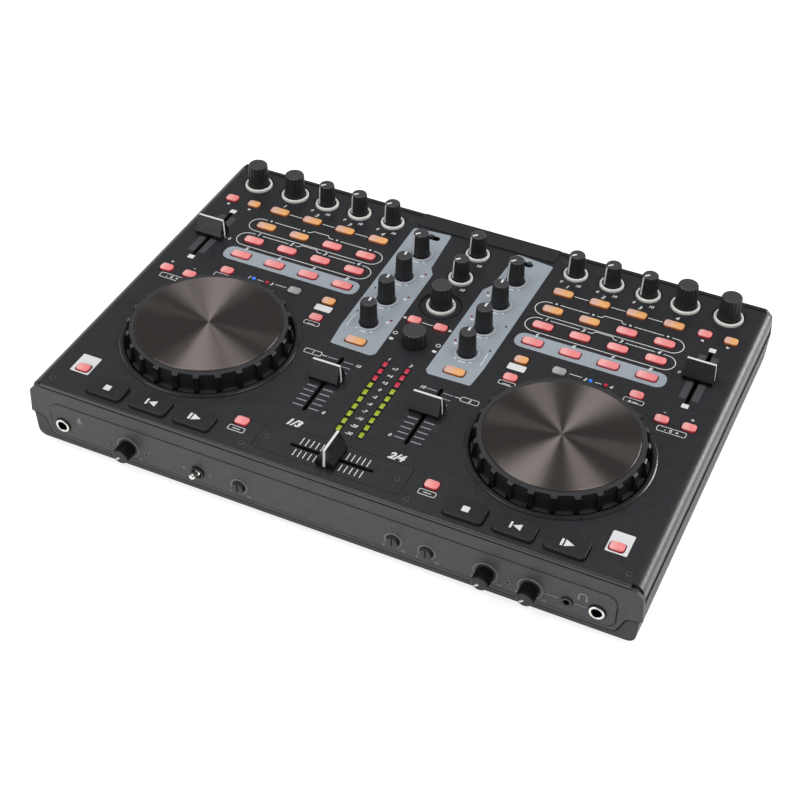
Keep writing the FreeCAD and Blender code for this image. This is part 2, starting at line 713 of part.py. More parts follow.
def case_form(inset, y0, y1):
    """The lower case as one solid, inset by a wall: tapered sides and rounded lower corners."""
    foot = (CASE_FOOT_HALF_WIDTH - inset, CASE_BOTTOM_Z + inset)
    right = [(CASE_HALF_WIDTH - inset, LIP_BOTTOM_Z), foot]
    form = prism_along_y(right + [(-x, z) for x, z in reversed(right)], y0, y1)
    return soften(form, [foot], CASE_CORNER_RADIUS - inset)


def case_lips():
    """A thin wall along each side that stands inside the panel's rolled edge."""
    outer = PANEL_HALF_WIDTH - PANEL_SHEET - PANEL_GAP
    inner = CASE_HALF_WIDTH - CASE_WALL - LIP_WALL
    y0 = FASCIA_BACK_Y + PANEL_GAP
    y1 = REAR_INNER_Y - PANEL_GAP
    low = LIP_BOTTOM_Z - LIP_HEIGHT
    lips = []
    for side in SIDES.values():
        near, far = sorted((side * inner, side * outer))
        lips.append(block(near, far, y0, y1, low, LIP_BOTTOM_Z + LIP_HEIGHT))
        near, far = sorted((side * inner, side * (CASE_HALF_WIDTH - CASE_WALL / 2)))
        lips.append(block(near, far, y0, y1, low, LIP_BOTTOM_Z))
    return lips


def case_posts():
    """Screw posts: a wide foot that carries the board and a slim end that meets the panel."""
    posts = []
    for x, y in post_places():
        posts.append(disc(x, y, POST_BASE_RADIUS, FLOOR_Z - OVERLAP, BOARD_BOTTOM_Z))
        posts.append(disc(x, y, POST_RADIUS, BOARD_BOTTOM_Z - OVERLAP, PANEL_BOTTOM_Z))
    return posts


def board_pillars():
    """Plain pillars under the board, clear of the screws."""
    places = both_sides(MIDDLE_PILLAR)
    places += both_sides((PILLAR_X, PILLAR_FRONT_Y))
    places += both_sides((PILLAR_X, PILLAR_REAR_Y))
    return [disc(x, y, POST_RADIUS, FLOOR_Z - OVERLAP, BOARD_BOTTOM_Z) for x, y in places]


def lower_case():
    """The tray: floor, tapered side walls, end walls with windows for both end plates, posts inside."""
    front = FASCIA_FACE_Y + CASE_SETBACK
    rear = REAR_FACE_Y - CASE_SETBACK
    inner = CASE_HALF_WIDTH - CASE_WALL
    shell = case_form(0, front, rear)
    hollow = case_form(CASE_WALL, FASCIA_BACK_Y, REAR_INNER_Y)
    lid_room = block(-inner, inner, FASCIA_BACK_Y, REAR_INNER_Y, LIP_BOTTOM_Z - PAST, PAST)
    front_window = fascia_solid(SEAM_GAP, front - PAST, FASCIA_BACK_Y + PANEL_GAP)
    rear_window = rear_solid(SEAM_GAP, REAR_INNER_Y - PANEL_GAP, rear + PAST)
    tray = without(shell, [hollow, lid_room])
    tray = joined([tray] + case_lips() + case_posts() + board_pillars())
    return without(tray, [front_window, rear_window] + screw_bores(post_places()))


def rubber_feet():
    feet = []
    for x, y in both_sides((FOOT_X, FOOT_FRONT_Y)) + both_sides((FOOT_X, FOOT_REAR_Y)):
        low = CASE_BOTTOM_Z - FOOT_HEIGHT
        profile = [
            (0, low),
            (FOOT_RADIUS - FOOT_CHAMFER, low),
            (FOOT_RADIUS, low + FOOT_CHAMFER),
            (FOOT_RADIUS, CASE_BOTTOM_Z),
            (0, CASE_BOTTOM_Z),
        ]
        feet.append(turned(profile, x, y))
    return group(feet)


def screw(length):
    """A flat-headed screw with a cross drive, pointing down from z = 0."""
    head = disc(0, 0, SCREW_HEAD_RADIUS, -SCREW_HEAD_HEIGHT, 0)
    shank = disc(0, 0, SCREW_RADIUS, -length, -SCREW_HEAD_HEIGHT)
    cross = [
        pad(0, 0, DRIVE_SLOT_LENGTH, DRIVE_SLOT_WIDTH, -DRIVE_SLOT_DEPTH, PAST),
        pad(0, 0, DRIVE_SLOT_WIDTH, DRIVE_SLOT_LENGTH, -DRIVE_SLOT_DEPTH, PAST),
    ]
    return without(joined([head, shank]), cross)


def panel_screws():
    screws = [moved(screw(SCREW_LENGTH), x, y, 0) for x, y in boss_places() + post_places()]
    short = screw(PANEL_SHEET + SHORT_SCREW_REACH)
    screws += [moved(short, x, y, 0) for x, y in both_sides(CROSSFADER_SCREW)]
    facing = to_front(screw(END_PLATE + SHORT_SCREW_REACH))
    screws += [moved(facing, x, PLATE_FACE_Y, FASCIA_SCREW_Z) for x in FASCIA_SCREWS_X]
    return group(screws)


# Inner parts


def main_board():
    """The circuit board with the key switches soldered to it."""
    half = BOARD_HALF_WIDTH
    board = block(-half, half, BOARD_FRONT_Y, BOARD_REAR_Y, BOARD_BOTTOM_Z, BOARD_TOP_Z)
    radius = POST_RADIUS + PANEL_GAP
    holes = [disc(x, y, radius, BOARD_BOTTOM_Z - PAST, BOARD_TOP_Z + PAST) for x, y in post_places()]
    top = BOARD_TOP_Z + SWITCH_HEIGHT
    switches = [pad(x, y, SWITCH_SIDE, SWITCH_SIDE, BOARD_TOP_Z, top) for x, y, _ in button_places()]
    return group([without(board, holes)] + switches)


def fader_body(x, y, along_y):
    length = fader_slot_length() + 2 * FADER_BODY_END
    size_x, size_y = slot_sides(along_y, length, FADER_BODY_WIDTH)
    slot_x, slot_y = slot_sides(along_y, fader_slot_length(), FADER_SLOT_WIDTH)
    low = PANEL_BOTTOM_Z - FADER_BODY_HEIGHT
    slot_floor = FADER_STEM_BOTTOM_Z - FADER_STEM_ROOM
    body = pad(x, y, size_x, size_y, low, PANEL_BOTTOM_Z)
    return body.cut(pad(x, y, slot_x, slot_y, slot_floor, PANEL_BOTTOM_Z + PAST))


def rotary_body(x, y):
    """A pot or encoder housing on the board, with a bore for the knob's shaft."""
    top = BOARD_TOP_Z + ROTARY_BODY_HEIGHT
    body = pad(x, y, ROTARY_BODY_SIDE, ROTARY_BODY_SIDE, BOARD_TOP_Z, top)
    bore = SHAFT_RADIUS + SHAFT_CLEARANCE
    return body.cut(disc(x, y, bore, SHAFT_BOTTOM_Z - SHAFT_END_GAP, top + PAST))


def front_rotary_body(x):
    y0 = FASCIA_BACK_Y
    y1 = y0 + ROTARY_BODY_HEIGHT
    body = wall_pad(x, FRONT_ROW_Z, ROTARY_BODY_SIDE, ROTARY_BODY_SIDE, y0, y1)
    return body.cut(rod(x, FRONT_ROW_Z, SHAFT_RADIUS + SHAFT_CLEARANCE, y0 - PAST, y1 + PAST))


def source_body(x, y):
    """A slide switch housing under the panel, open along the way of its nub."""
    wide, deep = SOURCE_SLOT
    low = PANEL_BOTTOM_Z - SOURCE_BODY_HEIGHT
    body = pad(x, y, wide + 2 * SOURCE_BODY_WALL, deep + 2 * SOURCE_BODY_WALL, low, PANEL_BOTTOM_Z)
    return body.cut(pad(x, y, wide, deep, low + SOURCE_BODY_FLOOR, PAST))


def toggle_body():
    """The mic switch: a round collar through the fascia with a cone-shaped mouth, and a box behind."""
    centre = FreeCAD.Vector(TOGGLE_X, FASCIA_FACE_Y, FRONT_ROW_Z)
    face = PLATE_FACE_Y - TOGGLE_COLLAR_PROUD
    collar = rod(TOGGLE_X, FRONT_ROW_Z, TOGGLE_COLLAR_RADIUS, face, FASCIA_BACK_Y + OVERLAP)
    side = ROTARY_BODY_SIDE
    housing = wall_pad(TOGGLE_X, FRONT_ROW_Z, side, side, FASCIA_BACK_Y, FASCIA_BACK_Y + TOGGLE_BODY_DEPTH)
    seat = Part.makeSphere(TOGGLE_BALL_RADIUS + PANEL_GAP, centre)
    throat = TOGGLE_LEVER_RADIUS + TOGGLE_THROAT
    rim = TOGGLE_COLLAR_RADIUS - TOGGLE_COLLAR_WALL
    mouth = Part.makeCone(throat, rim, FASCIA_FACE_Y - face + OVERLAP, centre, -REARWARD)
    return without(joined([collar, housing]), [seat, mouth])


def control_bodies():
    bodies = [fader_body(x, y, along_y) for _, x, y, along_y, _ in fader_places()]
    bodies += [rotary_body(x, y) for _, x, y, _, _ in panel_knobs()]
    bodies += [front_rotary_body(x) for x in list(FRONT_KNOBS_X.values()) + list(TRIMMERS_X.values())]
    bodies += [source_body(x, y) for x, y in both_sides(SOURCE_PLACE)]
    bodies.append(toggle_body())
    return group(bodies)


def jack(x, form):
    """A plug socket: a round neck through the fascia and a square housing behind it, with a blind bore."""
    bore, neck, depth = form
    mouth = PLATE_FACE_Y - JACK_PROUD
    side = 2 * (neck + JACK_BODY_MARGIN)
    end = mouth + depth + JACK_END_WALL
    barrel = rod(x, FRONT_ROW_Z, neck, mouth, FASCIA_BACK_Y + OVERLAP)
    housing = wall_pad(x, FRONT_ROW_Z, side, side, FASCIA_BACK_Y, end)
    return joined([barrel, housing]).cut(rod(x, FRONT_ROW_Z, bore, mouth - PAST, mouth + depth))


def front_jacks():
    return group([jack(x, LARGE_JACK) for x in LARGE_JACKS_X] + [jack(SMALL_JACK_X, SMALL_JACK)])


def phono_socket(x):
    """A pin socket: a sleeve with a centre bore, a round flange outside and a housing inside."""
    tip = REAR_FACE_Y + PHONO_REACH
    sleeve = rod(x, SOCKET_Z, PHONO_RADIUS, REAR_INNER_Y - OVERLAP, tip)
    flange = rod(x, SOCKET_Z, PHONO_FLANGE_RADIUS, REAR_FACE_Y, REAR_FACE_Y + PHONO_FLANGE_THICKNESS)
    side = PHONO_BODY_SIDE
    housing = wall_pad(x, SOCKET_Z, side, side, REAR_INNER_Y - PHONO_BODY_DEPTH, REAR_INNER_Y)
    bore = rod(x, SOCKET_Z, PHONO_BORE_RADIUS, tip - PHONO_BORE_DEPTH, tip + PAST)
    return joined([sleeve, flange, housing]).cut(bore)


def usb_socket():
    """A square data socket with a tongue inside and its upper corners cut off."""
    face = REAR_FACE_Y + USB_PROUD
    back = face - USB_DEPTH
    half = USB_WIDTH / 2
    rise = USB_HEIGHT / 2
    shell = wall_pad(USB_X, SOCKET_Z, USB_WIDTH + 2 * USB_WALL, USB_HEIGHT + 2 * USB_WALL, back, face)
    opening = [
        (USB_X - half, SOCKET_Z - rise),
        (USB_X + half, SOCKET_Z - rise),
        (USB_X + half, SOCKET_Z + rise - USB_CORNER),
        (USB_X + half - USB_CORNER, SOCKET_Z + rise),
        (USB_X - half + USB_CORNER, SOCKET_Z + rise),
        (USB_X - half, SOCKET_Z + rise - USB_CORNER),
    ]
    floor = back + USB_BACK_WALL
    cavity = prism_along_y(opening, floor, face + PAST)
    wide, high, long = USB_TONGUE
    tongue = wall_pad(USB_X, SOCKET_Z, wide, high, floor - OVERLAP, floor + long)
    return joined([shell.cut(cavity), tongue])


def rear_sockets():
    return group([phono_socket(x) for x in PHONO_SOCKETS_X] + [usb_socket()])


# Trim on the panel


def knob_collars():
    collars = []
    for _, x, y, form, ringed in panel_knobs():
        if not ringed:
            continue
        inner = collar_radius(form)
        low = -COLLAR_RECESS
        ring = disc(x, y, inner + COLLAR_WALL, low, COLLAR_HEIGHT)
        ring = ring.cut(disc(x, y, inner, low - PAST, COLLAR_HEIGHT + PAST))
        collars.append(round_top(ring, COLLAR_ROUND))
    return group(collars)


def indicator_lenses():
    wide, deep = SEGMENT_SIZE
    segments = [pad(x, y, wide, deep, -LENS_DEPTH, LENS_PROUD) for x, y in segment_places()]
    lights = [disc(x, y, LIGHT_RADIUS, -LENS_DEPTH, 2 * LENS_PROUD) for x, y in light_places()]
    return group(segments + [round_top(light, LENS_PROUD) for light in lights])


# Jog wheels


def jog_bases():
    """Each base: a bezel on the panel, a shallow tub below it and the bearing post in the middle."""
    bases = []
    floor_bottom = TUB_FLOOR_Z - TUB_FLOOR
    for side in SIDES.values():
        profile = [
            (0, floor_bottom),
            (BEZEL_INNER_RADIUS + TUB_WALL, floor_bottom),
            (BEZEL_INNER_RADIUS + TUB_WALL, 0),
            (BEZEL_OUTER_RADIUS, 0),
            (BEZEL_OUTER_RADIUS, BEZEL_HEIGHT / 2),
            (BEZEL_OUTER_RADIUS - BEZEL_HEIGHT / 2, BEZEL_HEIGHT),
            (BEZEL_INNER_RADIUS + BEZEL_HEIGHT / 2, BEZEL_HEIGHT),
            (BEZEL_INNER_RADIUS, BEZEL_HEIGHT / 2),
            (BEZEL_INNER_RADIUS, TUB_FLOOR_Z),
            (JOG_HUB_RADIUS, TUB_FLOOR_Z),
            (JOG_HUB_RADIUS, JOG_RIM_BOTTOM_Z - SHAFT_CLEARANCE),
            (JOG_POST_RADIUS, JOG_RIM_BOTTOM_Z - SHAFT_CLEARANCE),
            (JOG_POST_RADIUS, JOG_POST_TOP_Z),
            (0, JOG_POST_TOP_Z),
        ]
        bases.append(turned(profile, side * JOG_X, JOG_Y))
    return group(bases)


def finger_notch():
    """The tool for one notch of the rim, on the X side: wider outside than at its floor."""
    near = JOG_RIM_TOP_RADIUS - JOG_NOTCH_DEPTH
    far = JOG_RIM_BASE_RADIUS + PAST
    half = JOG_NOTCH_WIDTH / 2
    outline = [(near, -half), (far, -half - JOG_NOTCH_FLARE), (far, half + JOG_NOTCH_FLARE), (near, half)]
    corners = [FreeCAD.Vector(x, y, JOG_NOTCH_BOTTOM_Z) for x, y in outline]
    face = Part.Face(Part.makePolygon(corners + corners[:1]))
    return face.extrude(FreeCAD.Vector(0, 0, JOG_RIM_TOP_Z - JOG_NOTCH_BOTTOM_Z + PAST))


def jog_rim(side):
    """The turning cup: hub on the bearing post, web, skirt and a ring of finger notches."""
    x = side * JOG_X
    seat_z = JOG_DISC_TOP_Z - JOG_DISC_THICKNESS
    bore = JOG_POST_RADIUS + SHAFT_CLEARANCE
    profile = [
        (bore, JOG_RIM_BOTTOM_Z),
        (JOG_HUB_RADIUS, JOG_RIM_BOTTOM_Z),
        (JOG_HUB_RADIUS, seat_z - JOG_WEB),
        (JOG_RIM_TOP_RADIUS - JOG_RIM_WALL, seat_z - JOG_WEB),
        (JOG_RIM_BASE_RADIUS - JOG_RIM_WALL, JOG_RIM_BOTTOM_Z),
        (JOG_RIM_BASE_RADIUS, JOG_RIM_BOTTOM_Z),
        (JOG_RIM_BASE_RADIUS, JOG_NOTCH_BOTTOM_Z),
        (JOG_RIM_TOP_RADIUS, JOG_RIM_TOP_Z - JOG_RIM_CHAMFER),
        (JOG_RIM_TOP_RADIUS - JOG_RIM_CHAMFER, JOG_RIM_TOP_Z),
        (JOG_SEAT_RADIUS, JOG_RIM_TOP_Z),
        (JOG_SEAT_RADIUS, seat_z),
        (bore, seat_z),
    ]
    cup = turned(profile, x, JOG_Y)
    notches = []
    for number in range(JOG_NOTCHES):
        notch = finger_notch()
        notch.rotate(ORIGIN, UP, JOG_NOTCH_PHASE[side] + 360 * number / JOG_NOTCHES)
        notches.append(moved(notch, x, JOG_Y, 0))
    return without(cup, notches)


def jog_disc(side):
    """The metal top plate that sits in the cup."""
    low = JOG_DISC_TOP_Z - JOG_DISC_THICKNESS
    profile = [
        (0, low),
        (JOG_DISC_RADIUS, low),
        (JOG_DISC_RADIUS, JOG_DISC_TOP_Z - JOG_DISC_CHAMFER),
        (JOG_DISC_RADIUS - JOG_DISC_CHAMFER, JOG_DISC_TOP_Z),
        (0, JOG_DISC_TOP_Z),
    ]
    return turned(profile, side * JOG_X, JOG_Y)


# Knobs, trimmers and levers


def fluted_knob(form, base_z, flutes):
    """A tapered knob about Z with a rounded top and grooves down its side."""
    base, top, height = form
    body = Part.makeCone(base, top, height - base_z, FreeCAD.Vector(0, 0, base_z), UP)
    body = round_top(body, min(KNOB_TOP_ROUND, (height - base_z) / 3))
    lean = math.degrees(math.atan2(base - top, height - base_z))
    grooves = []
    for number in range(flutes):
        groove = disc(0, 0, FLUTE_RADIUS, -PAST, height + PAST)
        groove.rotate(ORIGIN, REARWARD, -lean)
        groove.translate(FreeCAD.Vector(base + FLUTE_RADIUS - FLUTE_BITE, 0, base_z))
        groove.rotate(ORIGIN, UP, 360 * (number + 0.5) / flutes)
        grooves.append(groove)
    return without(body, grooves)


def panel_knob(form):
    shaft = disc(0, 0, SHAFT_RADIUS, SHAFT_BOTTOM_Z, KNOB_BASE_Z + OVERLAP)
    return joined([fluted_knob(form, KNOB_BASE_Z, KNOB_FLUTES), shaft])


def to_front(shape):
    """Turn a shape built upwards from z = 0 so that it stands out of the front face."""
    turned_shape = shape.copy()
    turned_shape.rotate(ORIGIN, FreeCAD.Vector(1, 0, 0), 90)
    return turned_shape


def front_knob():
    """Built upwards: z = 0 is the outer face of the front plate."""
    base, top, reach = FRONT_KNOB
    knob = fluted_knob((base, top, FRONT_KNOB_GAP + reach), FRONT_KNOB_GAP, KNOB_FLUTES)
    shaft = disc(0, 0, SHAFT_RADIUS, -FRONT_SHAFT_LENGTH, FRONT_KNOB_GAP + OVERLAP)
    return to_front(joined([knob, shaft]))


def trimmer():
    """A short recessed trimmer with a slot for a coin or nail."""
    base, top, reach = TRIMMER
    low = PLATE_FACE_Y - FASCIA_BACK_Y + PANEL_GAP
    body = Part.makeCone(base, top, reach - low, FreeCAD.Vector(0, 0, low), UP)
    shaft = disc(0, 0, SHAFT_RADIUS, -FRONT_SHAFT_LENGTH, low + OVERLAP)
    slot = pad(0, 0, TRIMMER_SLOT_WIDTH, 2 * base, reach - TRIMMER_SLOT_DEPTH, reach + PAST)
    return to_front(joined([body, shaft]).cut(slot))


def mic_toggle():
    """A ball with a slim lever that widens to a rounded tip, tilted to its left stop."""
    ball = Part.makeSphere(TOGGLE_BALL_RADIUS)
    lever = Part.makeCone(TOGGLE_LEVER_RADIUS, TOGGLE_TIP_RADIUS, TOGGLE_LENGTH)
    tip = Part.makeSphere(TOGGLE_TIP_RADIUS, FreeCAD.Vector(0, 0, TOGGLE_LENGTH))
    lever = to_front(joined([ball, lever, tip]))
    lever.rotate(ORIGIN, UP, -TOGGLE_TILT)
    return moved(lever, TOGGLE_X, FASCIA_FACE_Y, FRONT_ROW_Z)


def source_slider(side):
    """A small square nub that rests at the outer end of its slot."""
    x = side * (SOURCE_PLACE[0] + SOURCE_TRAVEL / 2)
    wide, deep = SOURCE_NUB
    low = PANEL_BOTTOM_Z - SOURCE_BODY_HEIGHT + SOURCE_BODY_FLOOR + SOURCE_FLOOR_GAP
    return pad(x, SOURCE_PLACE[1], wide, deep, low, SOURCE_PROUD)


# Buttons


def button(x, y, size, proud, corner, edge):
    """A cap that stands out of the panel, a flange that keeps it captive and a stem over its switch."""
    width, depth = size
    low = FLANGE_TOP_Z - FLANGE_THICKNESS
    wide = width + 2 * FLANGE_WIDTH
    deep = depth + 2 * FLANGE_WIDTH
    cap = round_top(rounded_block(x, y, width, depth, corner, low, proud), edge)
    flange = rounded_block(x, y, wide, deep, corner, low, FLANGE_TOP_Z)
    stem = disc(x, y, STEM_RADIUS, STEM_BOTTOM_Z, FLANGE_TOP_Z)
    return joined([cap, flange, stem])


def small_buttons(places, size):
    return [button(x, y, size, BUTTON_PROUD, BUTTON_CORNER, BUTTON_ROUND) for x, y in places]


def deck_buttons(side):
    pads = small_buttons(pad_places(side), WIDE_BUTTON)
    return group(pads + small_buttons(small_button_places(side), SMALL_BUTTON))


def mixer_buttons():
    short = both_sides(LOAD_PLACE) + both_sides(LINK_PLACE)
    return group(small_buttons(both_sides(CUE_PLACE), WIDE_BUTTON) + small_buttons(short, SMALL_BUTTON))


def transport_keys(side):
    places = transport_places(side)
    return group([button(x, y, TRANSPORT_KEY, KEY_PROUD, KEY_CORNER, KEY_ROUND) for x, y in places])


# Fader caps


def fader_cap():
    """A wedge whose ridge runs across the way of travel, on a flat stem. Travel is along Y."""
    half = CAP_LENGTH / 2
    deep = CAP_DEPTH / 2
    ridge = CAP_RIDGE / 2
    outline = [(-deep, CAP_BOTTOM_Z), (deep, CAP_BOTTOM_Z), (deep, CAP_SHOULDER_Z), (ridge, CAP_TOP_Z)]
    outline += [(-ridge, CAP_TOP_Z), (-deep, CAP_SHOULDER_Z)]
    corners = [FreeCAD.Vector(-half, y, z) for y, z in outline]
    end = Part.Face(Part.makePolygon(corners + corners[:1]))
    wedge = end.extrude(FreeCAD.Vector(CAP_LENGTH, 0, 0))
    trims = []
    for side in SIDES.values():
        top = CAP_TOP_Z + TOLERANCE
        past = side * (half + PAST)
        trim = [(side * half, CAP_SHOULDER_Z), (side * (half - CAP_END_DRAFT), top)]
        trims.append(prism_along_y(trim + [(past, top), (past, CAP_SHOULDER_Z)], -CAP_DEPTH, CAP_DEPTH))
    long, wide = FADER_STEM
    stem = pad(0, 0, wide, long, FADER_STEM_BOTTOM_Z, CAP_BOTTOM_Z + OVERLAP)
    return joined([without(wedge, trims), stem])


def placed_fader(x, y, along_y, rest):
    cap = fader_cap()
    if not along_y:
        cap.rotate(ORIGIN, UP, 90)
    return moved(cap, x, y + rest, 0)


# Assembly


def build():
    nodes = {
        "top_panel": top_panel(),
        "front_fascia": front_fascia(),
        "front_plate": front_plate(),
        "rear_panel": rear_panel(),
        "lower_case": lower_case(),
        "crossfader_plate": crossfader_plate(),
        "rubber_feet": rubber_feet(),
        "panel_screws": panel_screws(),
        "main_board": main_board(),
        "control_bodies": control_bodies(),
        "jog_bases": jog_bases(),
        "knob_collars": knob_collars(),
        "indicator_lenses": indicator_lenses(),
        "front_jacks": front_jacks(),
        "rear_sockets": rear_sockets(),
        "mic_toggle": mic_toggle(),
        "mixer_buttons": mixer_buttons(),
    }
    for name, side in SIDES.items():
        nodes[f"jog_rim_{name}"] = jog_rim(side)
        nodes[f"jog_disc_{name}"] = jog_disc(side)
        nodes[f"deck_buttons_{name}"] = deck_buttons(side)
        nodes[f"transport_keys_{name}"] = transport_keys(side)
        nodes[f"source_slider_{name}"] = source_slider(side)
    forms = {form: panel_knob(form) for form in (ENCODER_KNOB, POT_KNOB, STRIP_KNOB, SELECT_KNOB)}
    for name, x, y, form, _ in panel_knobs():
        nodes[name] = moved(forms[form], x, y, 0)
    for name, x in FRONT_KNOBS_X.items():
        nodes[name] = moved(front_knob(), x, PLATE_FACE_Y, FRONT_ROW_Z)
    for name, x in TRIMMERS_X.items():
        nodes[name] = moved(trimmer(), x, PLATE_FACE_Y, FRONT_ROW_Z)
    for name, x, y, along_y, rest in fader_places():
        nodes[name] = placed_fader(x, y, along_y, rest)
    return nodes


def export(nodes):
    os.makedirs("parts", exist_ok=True)
    for name, shape in nodes.items():
        placed = shape.copy()
        placed.translate(PART_SHIFT)
        placed.exportStep(f"parts/{name}.step")


export(build())
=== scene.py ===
import math

import bmesh
import bpy
from mathutils import Matrix, Vector
from mathutils.geometry import tessellate_polygon


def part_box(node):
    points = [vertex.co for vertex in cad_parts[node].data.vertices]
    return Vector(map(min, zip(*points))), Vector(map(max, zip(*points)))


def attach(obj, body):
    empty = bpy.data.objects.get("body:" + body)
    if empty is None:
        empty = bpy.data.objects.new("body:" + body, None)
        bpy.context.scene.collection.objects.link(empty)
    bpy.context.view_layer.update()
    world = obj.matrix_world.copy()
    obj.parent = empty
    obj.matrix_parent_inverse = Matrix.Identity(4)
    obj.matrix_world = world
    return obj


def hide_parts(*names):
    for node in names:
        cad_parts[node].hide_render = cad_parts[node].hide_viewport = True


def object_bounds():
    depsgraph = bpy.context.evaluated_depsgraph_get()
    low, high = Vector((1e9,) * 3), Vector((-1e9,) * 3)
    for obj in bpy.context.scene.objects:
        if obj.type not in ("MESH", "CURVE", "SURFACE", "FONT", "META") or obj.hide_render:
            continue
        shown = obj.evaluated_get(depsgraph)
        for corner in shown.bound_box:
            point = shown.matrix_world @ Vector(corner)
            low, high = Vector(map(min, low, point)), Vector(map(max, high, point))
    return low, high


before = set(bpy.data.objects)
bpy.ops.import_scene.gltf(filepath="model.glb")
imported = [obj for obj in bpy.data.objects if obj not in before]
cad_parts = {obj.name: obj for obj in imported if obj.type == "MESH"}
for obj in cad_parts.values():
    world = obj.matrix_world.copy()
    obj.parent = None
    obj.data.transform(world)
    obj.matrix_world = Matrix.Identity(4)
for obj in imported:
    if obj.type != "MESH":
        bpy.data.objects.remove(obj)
cad_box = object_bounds()

# Layout sizes are in millimetres: X to the right, Y to the rear, Z up from the top face of the panel.
MM = 0.001
SIDES = {"left": -1, "right": 1}

# Jog discs: the chamfer has a width and a drop, and the dimple's shoulder a radius and a depth
JOG_PLACE = (112.4, -59.7)
DISC_RADIUS = 44.0
DISC_TOP = 12.55
DISC_THICKNESS = 2.3
DISC_BORE = 0.02
DISC_CHAMFER = (0.4, 0.6)
DISC_SOFT = 0.15
DIMPLE_RADIUS = 0.9
DIMPLE_SHOULDER = (0.6, 0.15)
DIMPLE_DEPTH = 0.25

# Buttons and keys: a crown step is an inset and the share of the crown that is still to rise
PAD_COLUMNS = (136.1, 112.1, 88.1, 64.1)
PAD_ROWS = (73.5, 54.7, 37.8, 20.9)
LOOP_X = (172.0, 155.6)
BEND_Y = -11.0
LOCK_Y = 2.6
SYNC_LOWER_Y = -14.9
SHIFT_PLACE = (165.5, -115.7)
CUE_PLACE = (32.4, -24.1)
LOAD_PLACE = (8.7, 9.1)
LINK_PLACE = (59.1, -115.8)
TRANSPORT_X = (83.6, 112.4, 141.7)
TRANSPORT_Y = -126.7
WIDE_CAP = (13.0, 6.6)
SMALL_CAP = (8.6, 6.6)
CAP_ROOM = 0.45
CAP_LOW = -2.3
CAP_HIGH = 1.6
CAP_CORNER = 2.5
CAP_LEAST_CORNER = 0.2
CAP_CROWN = 0.35
CAP_CROWN_STEPS = ((1.4, 0.55), (2.1, 0.2), (2.8, 0.0))
CAP_EDGE = 1.0
CAP_EDGE_STEPS = 4

# Knobs and their collars
STRIP_X = 32.6
STRIP_ROWS = (71.3, 45.2, 19.4, -5.9)
FRONT_DROP = 20.0
KNOB_TAPER = 0.6
KNOB_ROUND = 1.1
COLLAR_GAP = 0.4
COLLAR_WALL = 1.75
COLLAR_LOW = -0.6
COLLAR_HIGH = 1.3
COLLAR_DOME = 0.7

# Meters and lights
METER_X = 7.1
METER_FRONT_Y = -97.0
METER_REAR_Y = -36.0
METER_FIGURES = ("+7", "+4", "+2", "0", "-2", "-4", "-7", "-10", "-20", "-30")
METER_SEGMENTS = len(METER_FIGURES)
METER_RED = 3
SEGMENT_SIZE = (2.6, 4.4)
SEGMENT_CORNER = 0.3
LIGHT_X = (117.0, 107.6)
LIGHT_Y = 2.9
LIGHT_RADIUS = 1.19
LIGHT_TOP = 0.6
LENS_TOP = 0.3
LENS_LOW = -2.6
LENS_EDGE = 0.15
LENS_TAPER = 0.9

# Faders and source sliders
PITCH_PLACE = (164.3, 33.2)
CHANNEL_PLACE = (32.2, -66.9)
CROSSFADER_Y = -120.3
FADER_TRAVEL = 45.0
FADER_SHOULDER = 3.2
FADER_DRAFT = 0.5
SOURCE_PLACE = (32.4, 91.4)
SOURCE_SLOT = (8.2, 4.6)
SOURCE_CORNER = SOURCE_SLOT[1] / 2 - 0.02

# Front and rear: a ring has an inner and outer radius, and starts and ends at a distance out of its face
FRONT_ROW_Z = -27.3
LARGE_JACKS_X = (-168.2, 165.4)
SMALL_JACK_X = 148.4
JACK_RING = (3.15, 4.4, 0.4, 1.1)
SOCKET_Z = -26.0
PHONO_X = (-132.0, -116.0, -92.0, -76.0)
PHONO_RING = (4.3, 6.1, 0.8, 1.5)
RING_EDGE = 0.2
PLATE_CORNER = 6.0
# Painted shadow lines: thin dark strips that stand in for the shade below the front plate and below the
# fascia
PLATE_SHADOW_TOP = -19.0
SHADOW_REACH = 0.6
SHADOW_LINE_WIDTH = 0.65
CASE_SHADOW_CORNERS = ((188.5, -25.1), (181.9, -26.0), (176.6, -38.65))
CASE_SHADOW_ROUND = 4.0

# White lines on knobs and fader caps: a pointer's turn is in degrees from X
POINTER_WIDTH = 1.3
POINTER_PROUD = 0.04
POINTER_ROOT = 0.35
POINTER_START = 0.6
POINTER_FOOT = 1.6
POINTER_FOOT_FRONT = 1.2
POINTER_SINK = 0.05
LOW_TURN = 225
MIDDLE_TURN = 90
EDGE_MIDDLE = 0.32
SLANT = 0.7
FADER_LINE_WIDTH = 1.5
FADER_LINE_PROUD = 0.06
FADER_LINE_ROOT = 0.3
FADER_LINE_FOOT = 1.0
FADER_LINE_LEAN = 0.05

# Layers of print: height of the ink above a face, lowest first, and where the ink is rooted
STRIP_INK = 0.05
LINE_INK = 0.09
INK_ROOT = -0.05
FIGURE_SHARE = 0.7
LINE_WIDTH = 0.5
BOLD_LINE = 0.9
BOX_LINE = 0.4
BOX_CORNER = 1.0
SIGN_CORNER = 0.4
FINE_CORNER = 0.2
FIELD_CORNER = 0.8
DOT_RADIUS = 0.75
SMALL_DOT = 0.7

# Inks on the panel: record slot and height
PANEL_LAYERS = {
    "white": ("collar_plastic", LINE_INK),
    "grey": ("collar_plastic", LINE_INK),
    "dim": ("collar_plastic", STRIP_INK),
    "red": ("lens_plastic", LINE_INK),
    "black": ("collar_plastic", LINE_INK),
}

# Print on the keys: a bar with triangle has a height, a bar width, and the places of both from the middle
STOP_SIGN = (4.2, 4.2)
BACK_SIGN = (4.8, 1.2, -2.6, 0.9)
START_SIGN = (5.2, 1.4, -3.0, 1.2)
SIGN_PROUD = 0.05
SIGN_ROOT = 0.1

